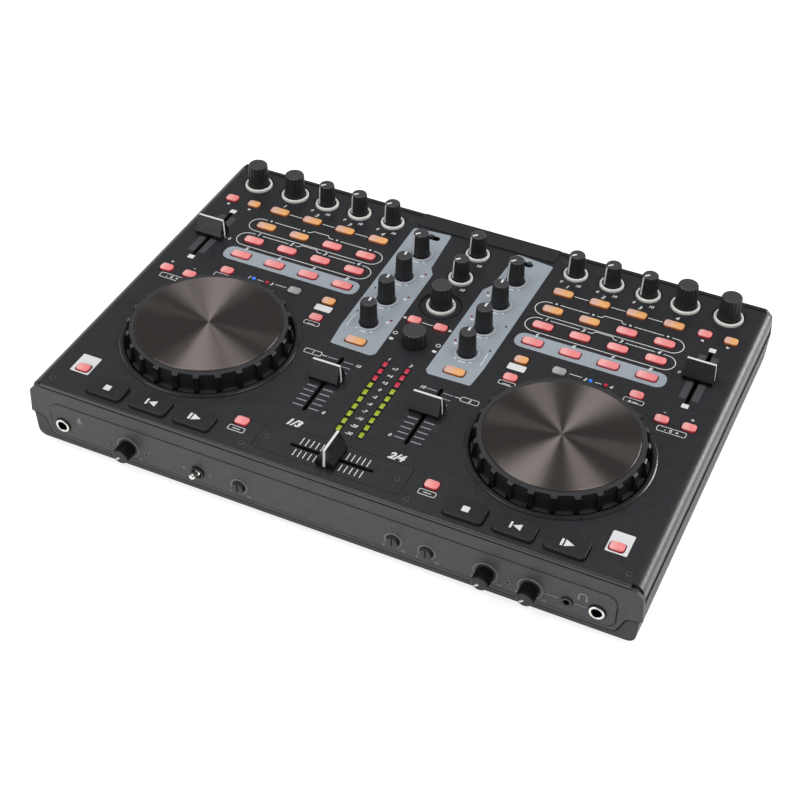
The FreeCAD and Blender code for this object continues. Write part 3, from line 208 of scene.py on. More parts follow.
# Print on the channel strips
STRIP_CORNERS = (
    (48.7, 96.2),
    (23.0, 98.8),
    (20.9, 61.4),
    (17.3, 55.5),
    (16.4, -29.8),
    (19.0, -32.6),
    (45.7, -31.9),
    (47.2, -14.1),
)
STRIP_ROUND = 1.8
STRIP_DOTS = ((-5.0, -6.6), (4.8, -6.6))
STRIP_DASH = (2.2, -8.2)
STRIP_RED_DOT = (21.3, 8.6)
RED_DOT_RADIUS = 0.85
STRIP_BOX = (22.6, 5.8)
STRIP_BOX_SIZE = (2.2, 1.8)
STRIP_BLACK_DOT = (44.2, 8.2)
STRIP_LINE = ((44.0, -0.6), (44.0, -13.0))

# Print round the pads: the hump has half widths at its foot and its top, and a rise
PILL_MIDDLE = 100.5
PILL_SIZE = (95.2, 13.6)
PILL_CORNER = 6.7
PILL_GAP = 2.6
PILL_HUMP = (7.0, 5.2, 2.2)
PAD_FIGURE = 3.0
PAD_FIGURE_PLACE = (-0.4, 7.4)
PAD_DOT_RISE = 7.0
PAD_LINK_GAP = 0.9

# Print beside the knobs and faders
KNOB_FIGURES = (("0", -5.8), ("10", 5.4))
KNOB_FIGURE = 2.3
KNOB_FIGURE_DROP = 10.8
FADER_TICKS = 11
TICK_ENDS = (2.0, 8.4)
TICK_WIDTH = 0.8
FADER_FIGURE = 2.4
CHANNEL_LEAD = (9.2, 13.0)
CHANNEL_LABEL_X = 18.6
CHANNEL_LABEL = (11.0, 3.8)
CHANNEL_LABEL_FIGURE = 2.2
CHANNEL_FIGURE_X = 11.2
PAIR_Y = -104.0
PAIR_FIGURE = 5.0
PAIR_BOLD = 0.06
PITCH_FIELD_PLACE = (3.8, 13.0)
PITCH_FIELD = (4.3, 16.6)
PITCH_LEAD = (8.2, 10.2)
PITCH_FIGURE_X = 12.4
PITCH_END_Y = 27.4
PITCH_END = (4.2, 3.6)
CROSSFADER_TICKS = 14
CROSSFADER_SCALE = 41.4
CROSSFADER_TICK_ENDS = ((1.8, 7.6), (-2.4, -7.7))
CROSSFADER_TICK_WIDTH = 0.55

# Print in the middle of the mixer
METER_MARGIN = (1.4, 2.4)
METER_TITLE_RISE = 5.4
METER_FIGURE = 2.3
METER_FIGURE_PLACE = (-0.4, -1.4)
BROWSE_RING = 13.2
LOAD_LINE_GAP = 0.6
LOAD_ARROW_X = 15.4
LOAD_ARROW = 2.4
SELECT_RING_PLACE = (14.2, -6.6)
SELECT_RING = 1.3
SELECT_BOX_PLACE = (14.2, -12.6)
SELECT_BOX = (2.6, 2.0)
SELECT_CORNER = 0.3

# Print on the decks
DECK_FIGURE = 2.6
LABEL_FIGURE = 2.4
SELECT_LINE_START = 6.2
SELECT_LINE_END = 102.0
SELECT_LINE_RISE = 0.6
LIGHT_LINE_GAP = 2.6
LIGHT_FIGURE_GAPS = (3.4, 3.2)
SHIFT_FIELD_PLACE = (166.1, -112.5)
SHIFT_FIELD = (12.4, 15.8)
SYNC_FIELD = (11.0, 5.6)
SYNC_FIELD_DROP = 7.4
BEND_LABEL = (17.0, 4.2)
BEND_LABEL_DROP = 7.2
BEND_SIGN_RISE = 7.0
LOCK_LABEL = (12.0, 3.4)
SYNC_LABEL = (10.0, 3.4)
LABEL_DROP = 5.6
LABEL_MARK_DROP = 6.4
LABEL_DASH = 2.4
LOCK_DOT_X = -2.0
LOCK_DASH = (-0.4, 3.0)
LINK_LABEL = (10.0, 3.8)
LINK_LABEL_DROP = 6.8
LOOP_ARROW = 2.2
LOOP_ARROW_DROP = 6.4

# Print on the front plate: places are x and z
FRONT_ARC_GAP = 1.6
FRONT_ARC_TURN = (235, -55)
FRONT_ARC_WIDTH = 0.6
FRONT_FIGURES = (("0", -1, 0.6), ("10", 1, 0.9))
FRONT_FIGURE = 1.8
FRONT_FIGURE_DROP = 5.6
PHONES_LINE_RISE = 0.6
KNOB_LINE_GAP = 3.0
SMALL_JACK_GAP = 4.6
LARGE_JACK_GAP = 5.8
PHONES_SIGN = (156.8, -19.6)
PHONES_BAND = 2.3
PHONES_BAND_WIDTH = 0.8
PHONES_EAR_PLACE = (2.2, -1.6)
PHONES_EAR = (1.3, 2.6)
MICROPHONE_SIGN = (-156.0, -19.0)
MICROPHONE_HEAD = (1.9, 3.6)
MICROPHONE_ROUND = 0.9
MICROPHONE_CRADLE = 1.9
MICROPHONE_CRADLE_DROP = 0.4
MICROPHONE_STEM = (-2.2, -3.8)
TOGGLE_FIGURES = (("0", -86.0), ("1", -68.4))
TOGGLE_FIGURE = 2.0

# Shading: where a blend starts and ends on its factor
BLEND_SPAN = (0.3, 0.7)

# Moulded and painted surfaces: colour, roughness, size and depth of the grain, and specular level
GRAINED = {
    "panel_paint": ((0.15, 0.152, 0.168), 0.36, 0.35, 0.02, 0.65),
    "fascia_plastic": ((0.27, 0.27, 0.275), 0.5, 0.4, 0.03, 0.4),
    "plate_paint": ((0.27, 0.27, 0.275), 0.48, 0.3, 0.02, 0.4),
    "case_plastic": ((0.20, 0.20, 0.205), 0.52, 0.5, 0.04, 0.4),
    "rear_paint": ((0.15, 0.15, 0.16), 0.5, 0.4, 0.03, 0.4),
    "cap_plastic": ((0.035, 0.037, 0.048), 0.3, 0.4, 0.004, 0.35),
    "key_plastic": ((0.14, 0.14, 0.155), 0.45, 0.3, 0.02, 0.4),
    "bezel_plastic": ((0.14, 0.14, 0.155), 0.3, 0.4, 0.01, 0.7),
    "inner_plastic": ((0.06, 0.06, 0.065), 0.5, 0.5, 0.03, 0.5),
    "socket_plastic": ((0.06, 0.06, 0.065), 0.4, 0.4, 0.02, 0.5),
    "rubber": ((0.08, 0.08, 0.08), 0.75, 0.5, 0.06, 0.3),
    "screw_metal": ((0.22, 0.22, 0.23), 0.4, 0.3, 0.01, 0.8),
}

# Other colours: a cap has those of its face, of its left end painted paler as a painted reflection and of its
# skirt painted darker as painted shade, and a lens has a glow
CAP_COLOURS = {
    "red": ((0.95, 0.56, 0.56), (0.96, 0.69, 0.68), (0.72, 0.20, 0.24)),
    "orange": ((0.93, 0.69, 0.44), (0.87, 0.71, 0.65), (0.66, 0.36, 0.12)),
    "grey": ((0.62, 0.62, 0.61), (0.70, 0.70, 0.69), (0.36, 0.36, 0.36)),
}
COLLAR_COLOURS = {"white": (0.90, 0.90, 0.88), "grey": (0.70, 0.72, 0.75)}
LENSES = {
    "green": ((0.61, 0.67, 0.13), 0.15),
    "red": ((0.76, 0.18, 0.29), 0.15),
    "blue": ((0.22, 0.46, 0.88), 0.5),
}
INK_COLOURS = {
    "white": (0.90, 0.905, 0.905),
    "grey": (0.58, 0.59, 0.61),
    "dim": (0.30, 0.30, 0.315),
    "strip": (0.635, 0.67, 0.705),
    "red": (0.55, 0.12, 0.17),
    "black": (0.06, 0.06, 0.065),
}

# Materials of the CAD nodes: fader caps not named here take cap_plastic, and all other nodes knob_rubber
NODE_FINISH = {
    "top_panel": "panel_paint",
    "crossfader_plate": "panel_paint",
    "front_fascia": "fascia_plastic",
    "front_plate": "plate_paint",
    "rear_panel": "rear_paint",
    "lower_case": "case_plastic",
    "rubber_feet": "rubber",
    "panel_screws": "screw_metal",
    "main_board": "circuit_board",
    "control_bodies": "inner_plastic",
    "jog_bases": "bezel_plastic",
    "front_jacks": "socket_plastic",
    "rear_sockets": "bright_metal",
    "mic_toggle": "bright_metal",
    "mic_level_knob": "cap_plastic",
    "phones_mix_knob": "cap_plastic",
    "phones_level_knob": "cap_plastic",
    "jog_rim_left": "rim_plastic",
    "jog_rim_right": "rim_plastic",
    "transport_keys_left": "key_plastic",
    "transport_keys_right": "key_plastic",
}

# Camera, matched to the photograph
CAMERA_PLACE = (297.6, -684.9, 617.9)
CAMERA_TURN = (47.973, -0.635, 25.0)
CAMERA_LENS = 71.98
CAMERA_SENSOR = 36.0
CAMERA_NEAR = 0.01

# Studio, in metres and watts: a lamp has a place, a width and length, a power and a direction in plan
LAMPS = {
    "left_strip": ((-0.36, 0.0, 1.3), (0.52, 1.0), 5.2, 94.0),
    "right_strip": ((0.63, 0.0, 1.3), (0.52, 1.0), 5.2, 136.0),
    "front_lamp": ((-0.8, -1.3, 0.6), (0.7, 1.2), 6.5, 148.0),
    "rear_lamp": ((1.3, 1.2, 0.3), (0.5, 0.9), 12.0, 133.0),
}
FLOOR_GAP = 0.1 * MM
FLOOR_HALF = 6.0
FLOOR_GLOW = 0.74
AIR_LIGHT = 0.45
WALL_SPAN = (0.05, 0.4)
WALL_LIGHT = (1.0, 0.14)

# Where the layout frame lies in the part's frame, in metres
jog_low, jog_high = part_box("jog_disc_left")
LAYOUT_Y = (jog_low.y + jog_high.y) / 2 - JOG_PLACE[1] * MM
PANEL_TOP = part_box("crossfader_plate")[1].z
FRONT_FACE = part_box("front_plate")[0].y


def at(x, y, z):
    """A point of the layout frame, in metres in the part's frame."""
    return Vector((x * MM, y * MM + LAYOUT_Y, z * MM + PANEL_TOP))


def on_face(face_y, outward):
    """A function like at for an upright face: it takes layout x and z and a distance out of the face."""

    def place(x, z, out):
        return Vector((x * MM, face_y + outward * out * MM, z * MM + PANEL_TOP))

    return place


on_front = on_face(FRONT_FACE, -1)
on_fascia = on_face(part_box("front_fascia")[0].y, -1)
on_case = on_face(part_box("lower_case")[0].y, -1)
on_rear = on_face(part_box("rear_panel")[1].y, 1)


# Colours and node helpers


def srgb(red, green, blue):
    """A display colour as the linear colour that shaders take."""
    return tuple(v / 12.92 if v <= 0.04045 else ((v + 0.055) / 1.055) ** 2.4 for v in (red, green, blue))


def scaled(colour, factor):
    return tuple(value * factor for value in colour)


materials = {}


def new_material(name, colour, roughness, metallic=0.0, specular=0.5, **more):
    """Keep a new material by its name, and give back its node tree and main shader.

    Other inputs of the shader are set by their names, with _ for a space.
    """
    material = bpy.data.materials.new(name)
    material.use_nodes = True
    materials[name] = material
    shader = material.node_tree.nodes["Principled BSDF"]
    shader.inputs["Base Color"].default_value = (*colour, 1)
    shader.inputs["Roughness"].default_value = roughness
    shader.inputs["Metallic"].default_value = metallic
    shader.inputs["Specular IOR Level"].default_value = specular
    for key, value in more.items():
        shader.inputs[key.replace("_", " ")].default_value = value
    return material.node_tree, shader


def feed(tree, socket, value):
    """Link an input to another node's output, or set it to a plain value."""
    if isinstance(value, bpy.types.NodeSocket):
        tree.links.new(value, socket)
    else:
        socket.default_value = value


def add_node(tree, kind, *inputs, **named):
    """A shader node with inputs in their own order, and with inputs or settings by name."""
    node = tree.nodes.new("ShaderNode" + kind)
    for key, value in named.items():
        if key in node.inputs:
            feed(tree, node.inputs[key], value)
        else:
            setattr(node, key, value)
    for socket, value in zip(node.inputs, inputs):
        feed(tree, socket, value)
    return node


def remap(tree, value, low, high, to_low=0.0, to_high=1.0):
    """A value between low and high, moved to another span and held inside it."""
    return add_node(tree, "MapRange", value, low, high, to_low, to_high).outputs["Result"]


def noise(tree, size_mm, detail=2.0, stretch=(1, 1, 1)):
    """Noise in the piece's own coordinates with features of about the given size."""
    coordinates = add_node(tree, "TexCoord").outputs["Object"]
    place = add_node(tree, "Mapping", Vector=coordinates, Scale=stretch).outputs["Vector"]
    scale = 1 / (size_mm * MM)
    return add_node(tree, "TexNoise", Vector=place, Scale=scale, Detail=detail, Roughness=0.6).outputs["Fac"]


def vary_colour(tree, shader, factor, dark, light):
    """Blend the base colour from dark to light, and give back the blend."""
    ramp = add_node(tree, "ValToRGB", Fac=factor)
    for element, position, colour in zip(ramp.color_ramp.elements, BLEND_SPAN, (dark, light)):
        element.position = position
        element.color = (*colour, 1)
    feed(tree, shader.inputs["Base Color"], ramp.outputs["Color"])
    return ramp.outputs["Color"]


def vary_roughness(tree, shader, factor, low, high):
    feed(tree, shader.inputs["Roughness"], remap(tree, factor, *BLEND_SPAN, low, high))


def raise_bump(tree, shader, height, depth_mm, strength):
    bump = add_node(tree, "Bump", Strength=strength, Distance=depth_mm * MM, Height=height)
    feed(tree, shader.inputs["Normal"], bump.outputs["Normal"])


def upward(tree):
    """How far a face looks up: the height of its normal."""
    normal = add_node(tree, "NewGeometry").outputs["Normal"]
    return add_node(tree, "SeparateXYZ", Vector=normal).outputs["Z"]


def from_middle(tree):
    """Distance from the upright line through the middle of a round piece, as a share of its width."""
    coordinates = add_node(tree, "TexCoord").outputs["Generated"]
    place = add_node(tree, "Mapping", Vector=coordinates, Location=(-0.5, -0.5, 0)).outputs["Vector"]
    flat = add_node(tree, "VectorMath", place, (1, 1, 0), operation="MULTIPLY").outputs["Vector"]
    return add_node(tree, "VectorMath", flat, operation="LENGTH").outputs["Value"]


# Materials


def grained(name, colour, roughness, grain_mm, depth_mm, specular=0.5, spread=0.12):
    """A moulded or painted surface: fine grain, a soft mottle in its colour and uneven gloss."""
    tree, shader = new_material(name, colour, roughness, specular=specular)
    mottle = noise(tree, 30 * grain_mm, 4.0)
    vary_colour(tree, shader, mottle, scaled(colour, 1 - spread), scaled(colour, 1 + spread))
    vary_roughness(tree, shader, noise(tree, 8 * grain_mm, 3.0), roughness - 0.05, roughness + 0.05)
    raise_bump(tree, shader, noise(tree, grain_mm), depth_mm, 0.5)


def metal(name, colour, roughness, scratch_mm):
    """Plain metal with fine scratches and patches of uneven polish."""
    tree, shader = new_material(name, colour, roughness, metallic=1.0)
    vary_colour(tree, shader, noise(tree, 3.0, 3.0), scaled(colour, 0.88), colour)
    scratches = noise(tree, scratch_mm, 3.0, (1, 1, 8))
    vary_roughness(tree, shader, scratches, roughness - 0.06, roughness + 0.08)
    raise_bump(tree, shader, scratches, 0.01, 0.3)


def brushed_disc():
    """Dark metal turned on a lathe: rings round its middle that stretch every highlight across them."""
    colour = srgb(0.49, 0.46, 0.45)
    turned_metal = {"metallic": 1.0, "Anisotropic": 1.0, "Anisotropic_Rotation": 0.25}
    tree, shader = new_material("brushed_disc", colour, 0.37, **turned_metal)
    tangent = add_node(tree, "Tangent", direction_type="RADIAL", axis="Z")
    feed(tree, shader.inputs["Tangent"], tangent.outputs["Tangent"])
    rings = disc_rings(tree)
    vary_colour(tree, shader, rings, scaled(colour, 0.93), scaled(colour, 1.05))
    vary_roughness(tree, shader, rings, 0.35, 0.39)
    raise_bump(tree, shader, rings, 0.004, 0.1)


def disc_rings(tree):
    """Noise that changes only with the distance from the middle of the disc."""
    texture = add_node(tree, "TexNoise", noise_dimensions="1D", Scale=420.0, Detail=4.0, Roughness=0.7)
    feed(tree, texture.inputs["W"], from_middle(tree))
    return texture.outputs["Fac"]


def translucent(weight, radius):
    """Shader inputs for light that spreads under the skin, with its reach for red, green and blue."""
    return {"Subsurface_Weight": weight, "Subsurface_Radius": radius, "Subsurface_Scale": 1.0}


def silicone(name, colour, pale, skirt_shade):
    """A translucent cap with a soft skin: its left end is painted paler as a painted reflection, and its
    skirt is painted in a deeper colour as painted shade.
    """
    soft = translucent(0.25, (0.0015, 0.0008, 0.0006))
    tree, shader = new_material(name, colour, 0.42, specular=0.4, **soft)
    # across runs from the left to the right end of each cap; the paler left end is a painted reflection
    across = add_node(tree, "Attribute", attribute_name="across").outputs["Fac"]
    wobble = add_node(tree, "Math", noise(tree, 2.0), 0.12, across, operation="MULTIPLY_ADD").outputs["Value"]
    top = vary_colour(tree, shader, wobble, pale, colour)
    # faces that turn away from up take the deeper skirt colour: painted shade
    face = remap(tree, upward(tree), 0.3, 0.9)
    skin = add_node(tree, "Mix", data_type="RGBA", Factor=face, A=(*skirt_shade, 1), B=top)
    feed(tree, shader.inputs["Base Color"], skin.outputs["Result"])
    raise_bump(tree, shader, noise(tree, 0.25), 0.01, 0.3)


def collar_plastic(name, colour):
    """The rings round the knobs: slightly translucent plastic with a faint mottle."""
    tree, shader = new_material(name, colour, 0.4, **translucent(0.15, (0.001, 0.001, 0.001)))
    vary_colour(tree, shader, noise(tree, 4.0, 3.0), scaled(colour, 0.92), colour)
    raise_bump(tree, shader, noise(tree, 0.3), 0.01, 0.3)


def lens(name, colour, glow):
    """A lit window: coloured plastic that gives off a little of its own light."""
    light = {"Emission_Color": (*colour, 1), "Emission_Strength": glow}
    tree, shader = new_material(name, colour, 0.3, **light)
    vary_colour(tree, shader, noise(tree, 1.2), scaled(colour, 0.8), colour)


def ink(name, colour):
    """Screen print: a flat colour broken up by the grain of the face under it."""
    tree, shader = new_material(name, colour, 0.55, specular=0.3)
    vary_colour(tree, shader, noise(tree, 0.6, 3.0), scaled(colour, 0.86), colour)
    raise_bump(tree, shader, noise(tree, 0.3), 0.008, 0.3)


def rim_plastic():
    """The jog rim: gloss black on the outer faces of its ridges and satin on the top, the black of the walls
    being partly painted shade; the notch floors are painted part way to the satin colour as painted light
    against the shade in the notches.
    """
    black = srgb(0.075, 0.075, 0.09)
    satin = srgb(0.20, 0.20, 0.215)
    tree, shader = new_material("rim_plastic", black, 0.25)
    # the notch floors are painted part way paler: painted light that lifts the shade in the notches
    notch = remap(tree, from_middle(tree), 0.484, 0.478, 0.0, 0.42)
    # faces that look up take the satin colour and the walls the black one, which is partly painted shade
    pale = add_node(tree, "Math", upward(tree), notch, operation="MAXIMUM").outputs["Value"]
    vary_colour(tree, shader, pale, black, satin)
    vary_roughness(tree, shader, pale, 0.22, 0.45)
    raise_bump(tree, shader, noise(tree, 0.3), 0.01, 0.25)


def knob_rubber():
    """Soft-touch knobs: dark fluted sides and a top painted paler, as painted light from above."""
    side = srgb(0.125, 0.125, 0.135)
    tree, shader = new_material("knob_rubber", side, 0.42)
    # faces that look up are painted paler: painted light on the knob tops
    vary_colour(tree, shader, remap(tree, upward(tree), 0.1, 0.9), side, srgb(0.245, 0.245, 0.255))
    vary_roughness(tree, shader, noise(tree, 2.0, 3.0), 0.38, 0.48)
    raise_bump(tree, shader, noise(tree, 0.3), 0.01, 0.4)


def circuit_board():
    """Green solder mask with a fine pattern of tracks."""
    colour = srgb(0.05, 0.25, 0.12)
    tree, shader = new_material("circuit_board", colour, 0.35)
    tracks = noise(tree, 2.5, 1.0, (1, 6, 1))
    vary_colour(tree, shader, tracks, colour, srgb(0.10, 0.38, 0.20))
    raise_bump(tree, shader, tracks, 0.03, 0.4)


for title, (tone, *values) in GRAINED.items():
    grained(title, srgb(*tone), *values)
for title, tones in CAP_COLOURS.items():
    silicone(f"{title}_silicone", *[srgb(*tone) for tone in tones])
for title, tone in COLLAR_COLOURS.items():
    collar_plastic(f"{title}_collar", srgb(*tone))
for title, (tone, glow) in LENSES.items():
    lens(f"{title}_lens", srgb(*tone), glow)
for title, tone in INK_COLOURS.items():
    ink(f"{title}_ink", srgb(*tone))
metal("bright_metal", srgb(0.90, 0.89, 0.87), 0.25, 0.3)
knob_rubber()
rim_plastic()
brushed_disc()
circuit_board()


def finish_nodes():
    """Give every CAD node its material."""
    for name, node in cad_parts.items():
        material = materials[NODE_FINISH.get(name, "cap_plastic" if "fader" in name else "knob_rubber")]
        if not node.material_slots:
            node.data.materials.append(material)
        for material_slot in node.material_slots:
            material_slot.material = material


# Outlines and meshes


def arc_points(x, y, radius, start, end, steps):
    angles = [math.radians(start + (end - start) * n / steps) for n in range(steps + 1)]
    return [(x + radius * math.cos(a), y + radius * math.sin(a)) for a in angles]


def circle(x, y, radius, count=24):
    return arc_points(x, y, radius, 0, 360 - 360 / count, count - 1)


def rounded_corners(corners, radius, steps=5):
    """A closed outline of x, y corners with every corner rounded."""
    points = []
    count = len(corners)
    for n, corner in enumerate(corners):
        here = Vector(corner)
        before = (Vector(corners[n - 1]) - here).normalized()
        after = (Vector(corners[(n + 1) % count]) - here).normalized()
        reach = radius / math.tan(before.angle(after) / 2)
        start = here + before * reach
        end = here + after * reach
        for step in range(steps + 1):
            t = step / steps
            point = start * (1 - t) ** 2 + here * 2 * t * (1 - t) + end * t ** 2
            points.append((point.x, point.y))
    return points


def open_path(corners, radius, steps=5):
    """A path from the first corner to the last, with the corners between them rounded."""
    curve = rounded_corners(corners, radius, steps)
    return [corners[0], *curve[steps + 1:-steps - 1], corners[-1]]


def rectangle(x, y, size, corner, steps=5):
    """A rounded rectangle about a middle."""
    left, right = x - size[0] / 2, x + size[0] / 2
    front, rear = y - size[1] / 2, y + size[1] / 2
    return rounded_corners([(left, front), (right, front), (right, rear), (left, rear)], corner, steps)


def triangle(x, y, size, facing):
    """A triangle that points along X, to the side that facing gives."""
    back = x - facing * size / 2
    return [(back, y - size / 2), (back, y + size / 2), (x + facing * size / 2, y)]


def loft(shape, rings):
    """Join rings of the same number of points into a closed skin with capped ends."""
    loops = [[shape.verts.new(point) for point in ring] for ring in rings]
    count = len(loops[0])
    for lower, upper in zip(loops, loops[1:]):
        for n in range(count):
            m = (n + 1) % count
            shape.faces.new((lower[n], lower[m], upper[m], upper[n]))
    shape.faces.new(reversed(loops[0]))
    shape.faces.new(loops[-1])


def lathe(shape, profile, middle, place=at, segments=64):
    """A ring turned about a middle on a face: its profile is radius and distance out, in millimetres."""
    loops = []
    for n in range(segments):
        angle = math.tau * n / segments
        spoke = (math.cos(angle), math.sin(angle))
        points = [place(middle[0] + r * spoke[0], middle[1] + r * spoke[1], out) for r, out in profile]
        loops.append([shape.verts.new(point) for point in points])
    count = len(profile)
    for here, there in zip(loops, loops[1:] + loops[:1]):
        for m in range(count):
            k = (m + 1) % count
            shape.faces.new((here[m], there[m], there[k], here[k]))


def ribbon(shape, points, normals, side, width, proud, root):
    """A flat strip laid along a path: it stands proud of the surface and is rooted a little below it."""
    half = side * (width / 2)
    rings = []
    for point, normal in zip(points, normals):
        high = point + normal * proud
        low = point - normal * root
        rings.append([high - half, high + half, low + half, low - half])
    loft(shape, rings)


def piece_from(shape, name, material, body, smooth_angle=35):
    """Turn a bmesh into a piece that rides on a body."""
    bmesh.ops.recalc_face_normals(shape, faces=shape.faces[:])
    mesh = bpy.data.meshes.new(name)
    shape.to_mesh(mesh)
    shape.free()
    for polygon in mesh.polygons:
        polygon.use_smooth = True
    mesh.set_sharp_from_angle(angle=math.radians(smooth_angle))
    mesh.materials.append(materials[material])
    piece = bpy.data.objects.new(name, mesh)
    bpy.context.scene.collection.objects.link(piece)
    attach(piece, body)
    return piece


class Print:
    """Flat shapes of one ink, gathered in layout millimetres and raised into one thin layer."""

    def __init__(self, place):
        self.place = place
        self.outlines = []

    def area(self, points, openings=()):
        """A filled outline, with the openings in it left bare."""
        if not openings:
            self.outlines.append([tuple(points)])
            return
        loops = [[Vector((u, v, 0)) for u, v in loop] for loop in (points, *openings)]
        corners = [(corner.x, corner.y) for loop in loops for corner in loop]
        self.outlines.append([tuple(corners[n] for n in face) for face in tessellate_polygon(loops)])

    def line(self, points, width=LINE_WIDTH, closed=False):
        """A stroke of even width along a path of points."""
        count = len(points)
        path = [Vector(point) for point in points]
        left = []
        right = []
        for n in range(count):
            before = path[n - 1] if closed or n else path[n]
            after = path[(n + 1) % count] if closed or n < count - 1 else path[n]
            along = [d.normalized() for d in (path[n] - before, after - path[n]) if d.length > 0]
            normals = [Vector((-d.y, d.x)) for d in along]
            middle = sum(normals, Vector((0, 0))).normalized()
            reach = width / 2 / max(middle.dot(normals[0]), 0.3)
            left.append(tuple(path[n] + middle * reach))
            right.append(tuple(path[n] - middle * reach))
        last = count if closed else count - 1
        steps = [(n, (n + 1) % count) for n in range(last)]
        self.outlines.append([(left[n], right[n], right[m], left[m]) for n, m in steps])

    def level(self, start, end, y, width=LINE_WIDTH):
        self.line([(start, y), (end, y)], width)

    def dot(self, x, y, radius=DOT_RADIUS):
        self.area(circle(x, y, radius))

    def label(self, x, y, size):
        """An outlined box."""
        self.line(rectangle(x, y, size, BOX_CORNER, 4), BOX_LINE, closed=True)

    def text(self, words, x, y, height, slant=0.25, bold=0.03):
        """Plain figures, centred on x, y."""
        curve = bpy.data.curves.new("figures", "FONT")
        curve.body = words
        curve.size = height / FIGURE_SHARE
        curve.shear = slant
        curve.align_x = "CENTER"
        curve.resolution_u = 3
        curve.offset = height * bold
        carrier = bpy.data.objects.new("figures", curve)
        mesh = bpy.data.meshes.new_from_object(carrier)
        corners = [(x + vertex.co.x, y + vertex.co.y - height / 2) for vertex in mesh.vertices]
        self.outlines.append([[corners[n] for n in polygon.vertices] for polygon in mesh.polygons])
        bpy.data.objects.remove(carrier)
        bpy.data.curves.remove(curve)
        bpy.data.meshes.remove(mesh)

    def piece(self, name, material, body, record_slot, height, root=INK_ROOT):
        """Raise all outlines from the root to a height, as one piece."""
        shape = bmesh.new()
        for faces in self.outlines:
            known = {}
            for face in faces:
                corners = []
                for u, v in face:
                    key = (round(u, 4), round(v, 4))
                    if key not in known:
                        known[key] = shape.verts.new(self.place(u, v, root))
                    if known[key] not in corners:
                        corners.append(known[key])
                if len(corners) > 2:
                    shape.faces.new(corners)
        lifted = bmesh.ops.extrude_face_region(shape, geom=shape.faces[:])
        rise = self.place(0, 0, height) - self.place(0, 0, root)
        raised = [part for part in lifted["geom"] if isinstance(part, bmesh.types.BMVert)]
        bmesh.ops.translate(shape, verts=raised, vec=rise)
        return piece_from(shape, name, material, body)


# Buttons


def deck_caps(side):
    """Every small cap of a deck: x, y, size and colour. Columns are counted from the left of the unit."""
    columns = sorted(side * x for x in PAD_COLUMNS)
    caps = []
    for row, y in enumerate(PAD_ROWS):
        for column, x in enumerate(columns):
            orange = row == 0 or (row == 1 and column < 2)
            caps.append((x, y, WIDE_CAP, "orange" if orange else "red"))
    outer, inner = sorted(side * x for x in LOOP_X)
    caps += [(outer, PAD_ROWS[0], SMALL_CAP, "red"), (inner, PAD_ROWS[0], SMALL_CAP, "orange")]
    caps += [(side * x, BEND_Y, SMALL_CAP, "red") for x in LOOP_X]
    caps.append((side * PAD_COLUMNS[0], LOCK_Y, SMALL_CAP, "red"))
    caps.append((side * PAD_COLUMNS[2], LOCK_Y, SMALL_CAP, "grey"))
    caps.append((side * PAD_COLUMNS[3], LOCK_Y, SMALL_CAP, "orange"))
    caps.append((side * PAD_COLUMNS[3], SYNC_LOWER_Y, SMALL_CAP, "red"))
    caps.append((side * SHIFT_PLACE[0], SHIFT_PLACE[1], SMALL_CAP, "red"))
    return caps


def mixer_caps():
    """The caps between the decks, like deck_caps."""
    caps = []
    for side in SIDES.values():
        caps.append((side * CUE_PLACE[0], CUE_PLACE[1], WIDE_CAP, "orange"))
        caps.append((side * LOAD_PLACE[0], LOAD_PLACE[1], SMALL_CAP, "red"))
        caps.append((side * LINK_PLACE[0], LINK_PLACE[1], SMALL_CAP, "red"))
    return caps


def add_cap(shape, x, y, size):
    """A soft cap: straight skirt, rounded shoulder and a low crown."""
    shoulder = CAP_HIGH - CAP_CROWN
    levels = [(0, CAP_LOW), (0, shoulder - CAP_EDGE)]
    for step in range(1, CAP_EDGE_STEPS + 1):
        angle = math.radians(90 * step / CAP_EDGE_STEPS)
        levels.append((CAP_EDGE * (1 - math.cos(angle)), shoulder - CAP_EDGE * (1 - math.sin(angle))))
    levels += [(inset, CAP_HIGH - share * CAP_CROWN) for inset, share in CAP_CROWN_STEPS]
    rings = []
    for inset, z in levels:
        corner = max(CAP_CORNER - inset, CAP_LEAST_CORNER)
        outline = rectangle(x, y, (size[0] - 2 * inset, size[1] - 2 * inset), corner)
        rings.append([at(u, v, z) for u, v in outline])
    loft(shape, rings)


def make_caps(caps, node):
    """One piece for each colour of cap, standing for the CAD node and moving with it."""
    for colour in CAP_COLOURS:
        chosen = [cap for cap in caps if cap[3] == colour]
        if not chosen:
            continue
        shape = bmesh.new()
        across = []
        for x, y, size, _ in chosen:
            first = len(shape.verts)
            add_cap(shape, x, y, size)
            shape.verts.ensure_lookup_table()
            low = (x - size[0] / 2) * MM
            across += [(vertex.co.x - low) / (size[0] * MM) for vertex in shape.verts[first:]]
        piece = piece_from(shape, f"{node}_{colour}", f"{colour}_silicone", node, 50)
        # the across attribute places the painted reflection at the left end of each cap
        shade = piece.data.attributes.new("across", "FLOAT", "POINT")
        shade.data.foreach_set("value", across)
        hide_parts(node)


# Trim on the panel


def knob_nodes():
    return [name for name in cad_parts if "_knob" in name or name.startswith("encoder")]


def node_place(name):
    """Middle of a node in layout x, y, and its half width, in millimetres."""
    low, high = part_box(name)
    x = (low.x + high.x) / 2 / MM
    y = ((low.y + high.y) / 2 - LAYOUT_Y) / MM
    return x, y, (high.x - low.x) / 2 / MM


def is_front_knob(name):
    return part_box(name)[0].z < PANEL_TOP - FRONT_DROP * MM


def is_on_strip(name):
    return abs(abs(node_place(name)[0]) - STRIP_X) < 1


def has_stops(name):
    """Whether a knob turns between two ends, and so carries a pointer."""
    return not name.startswith("encoder") and name not in ("browse_knob", "select_knob")


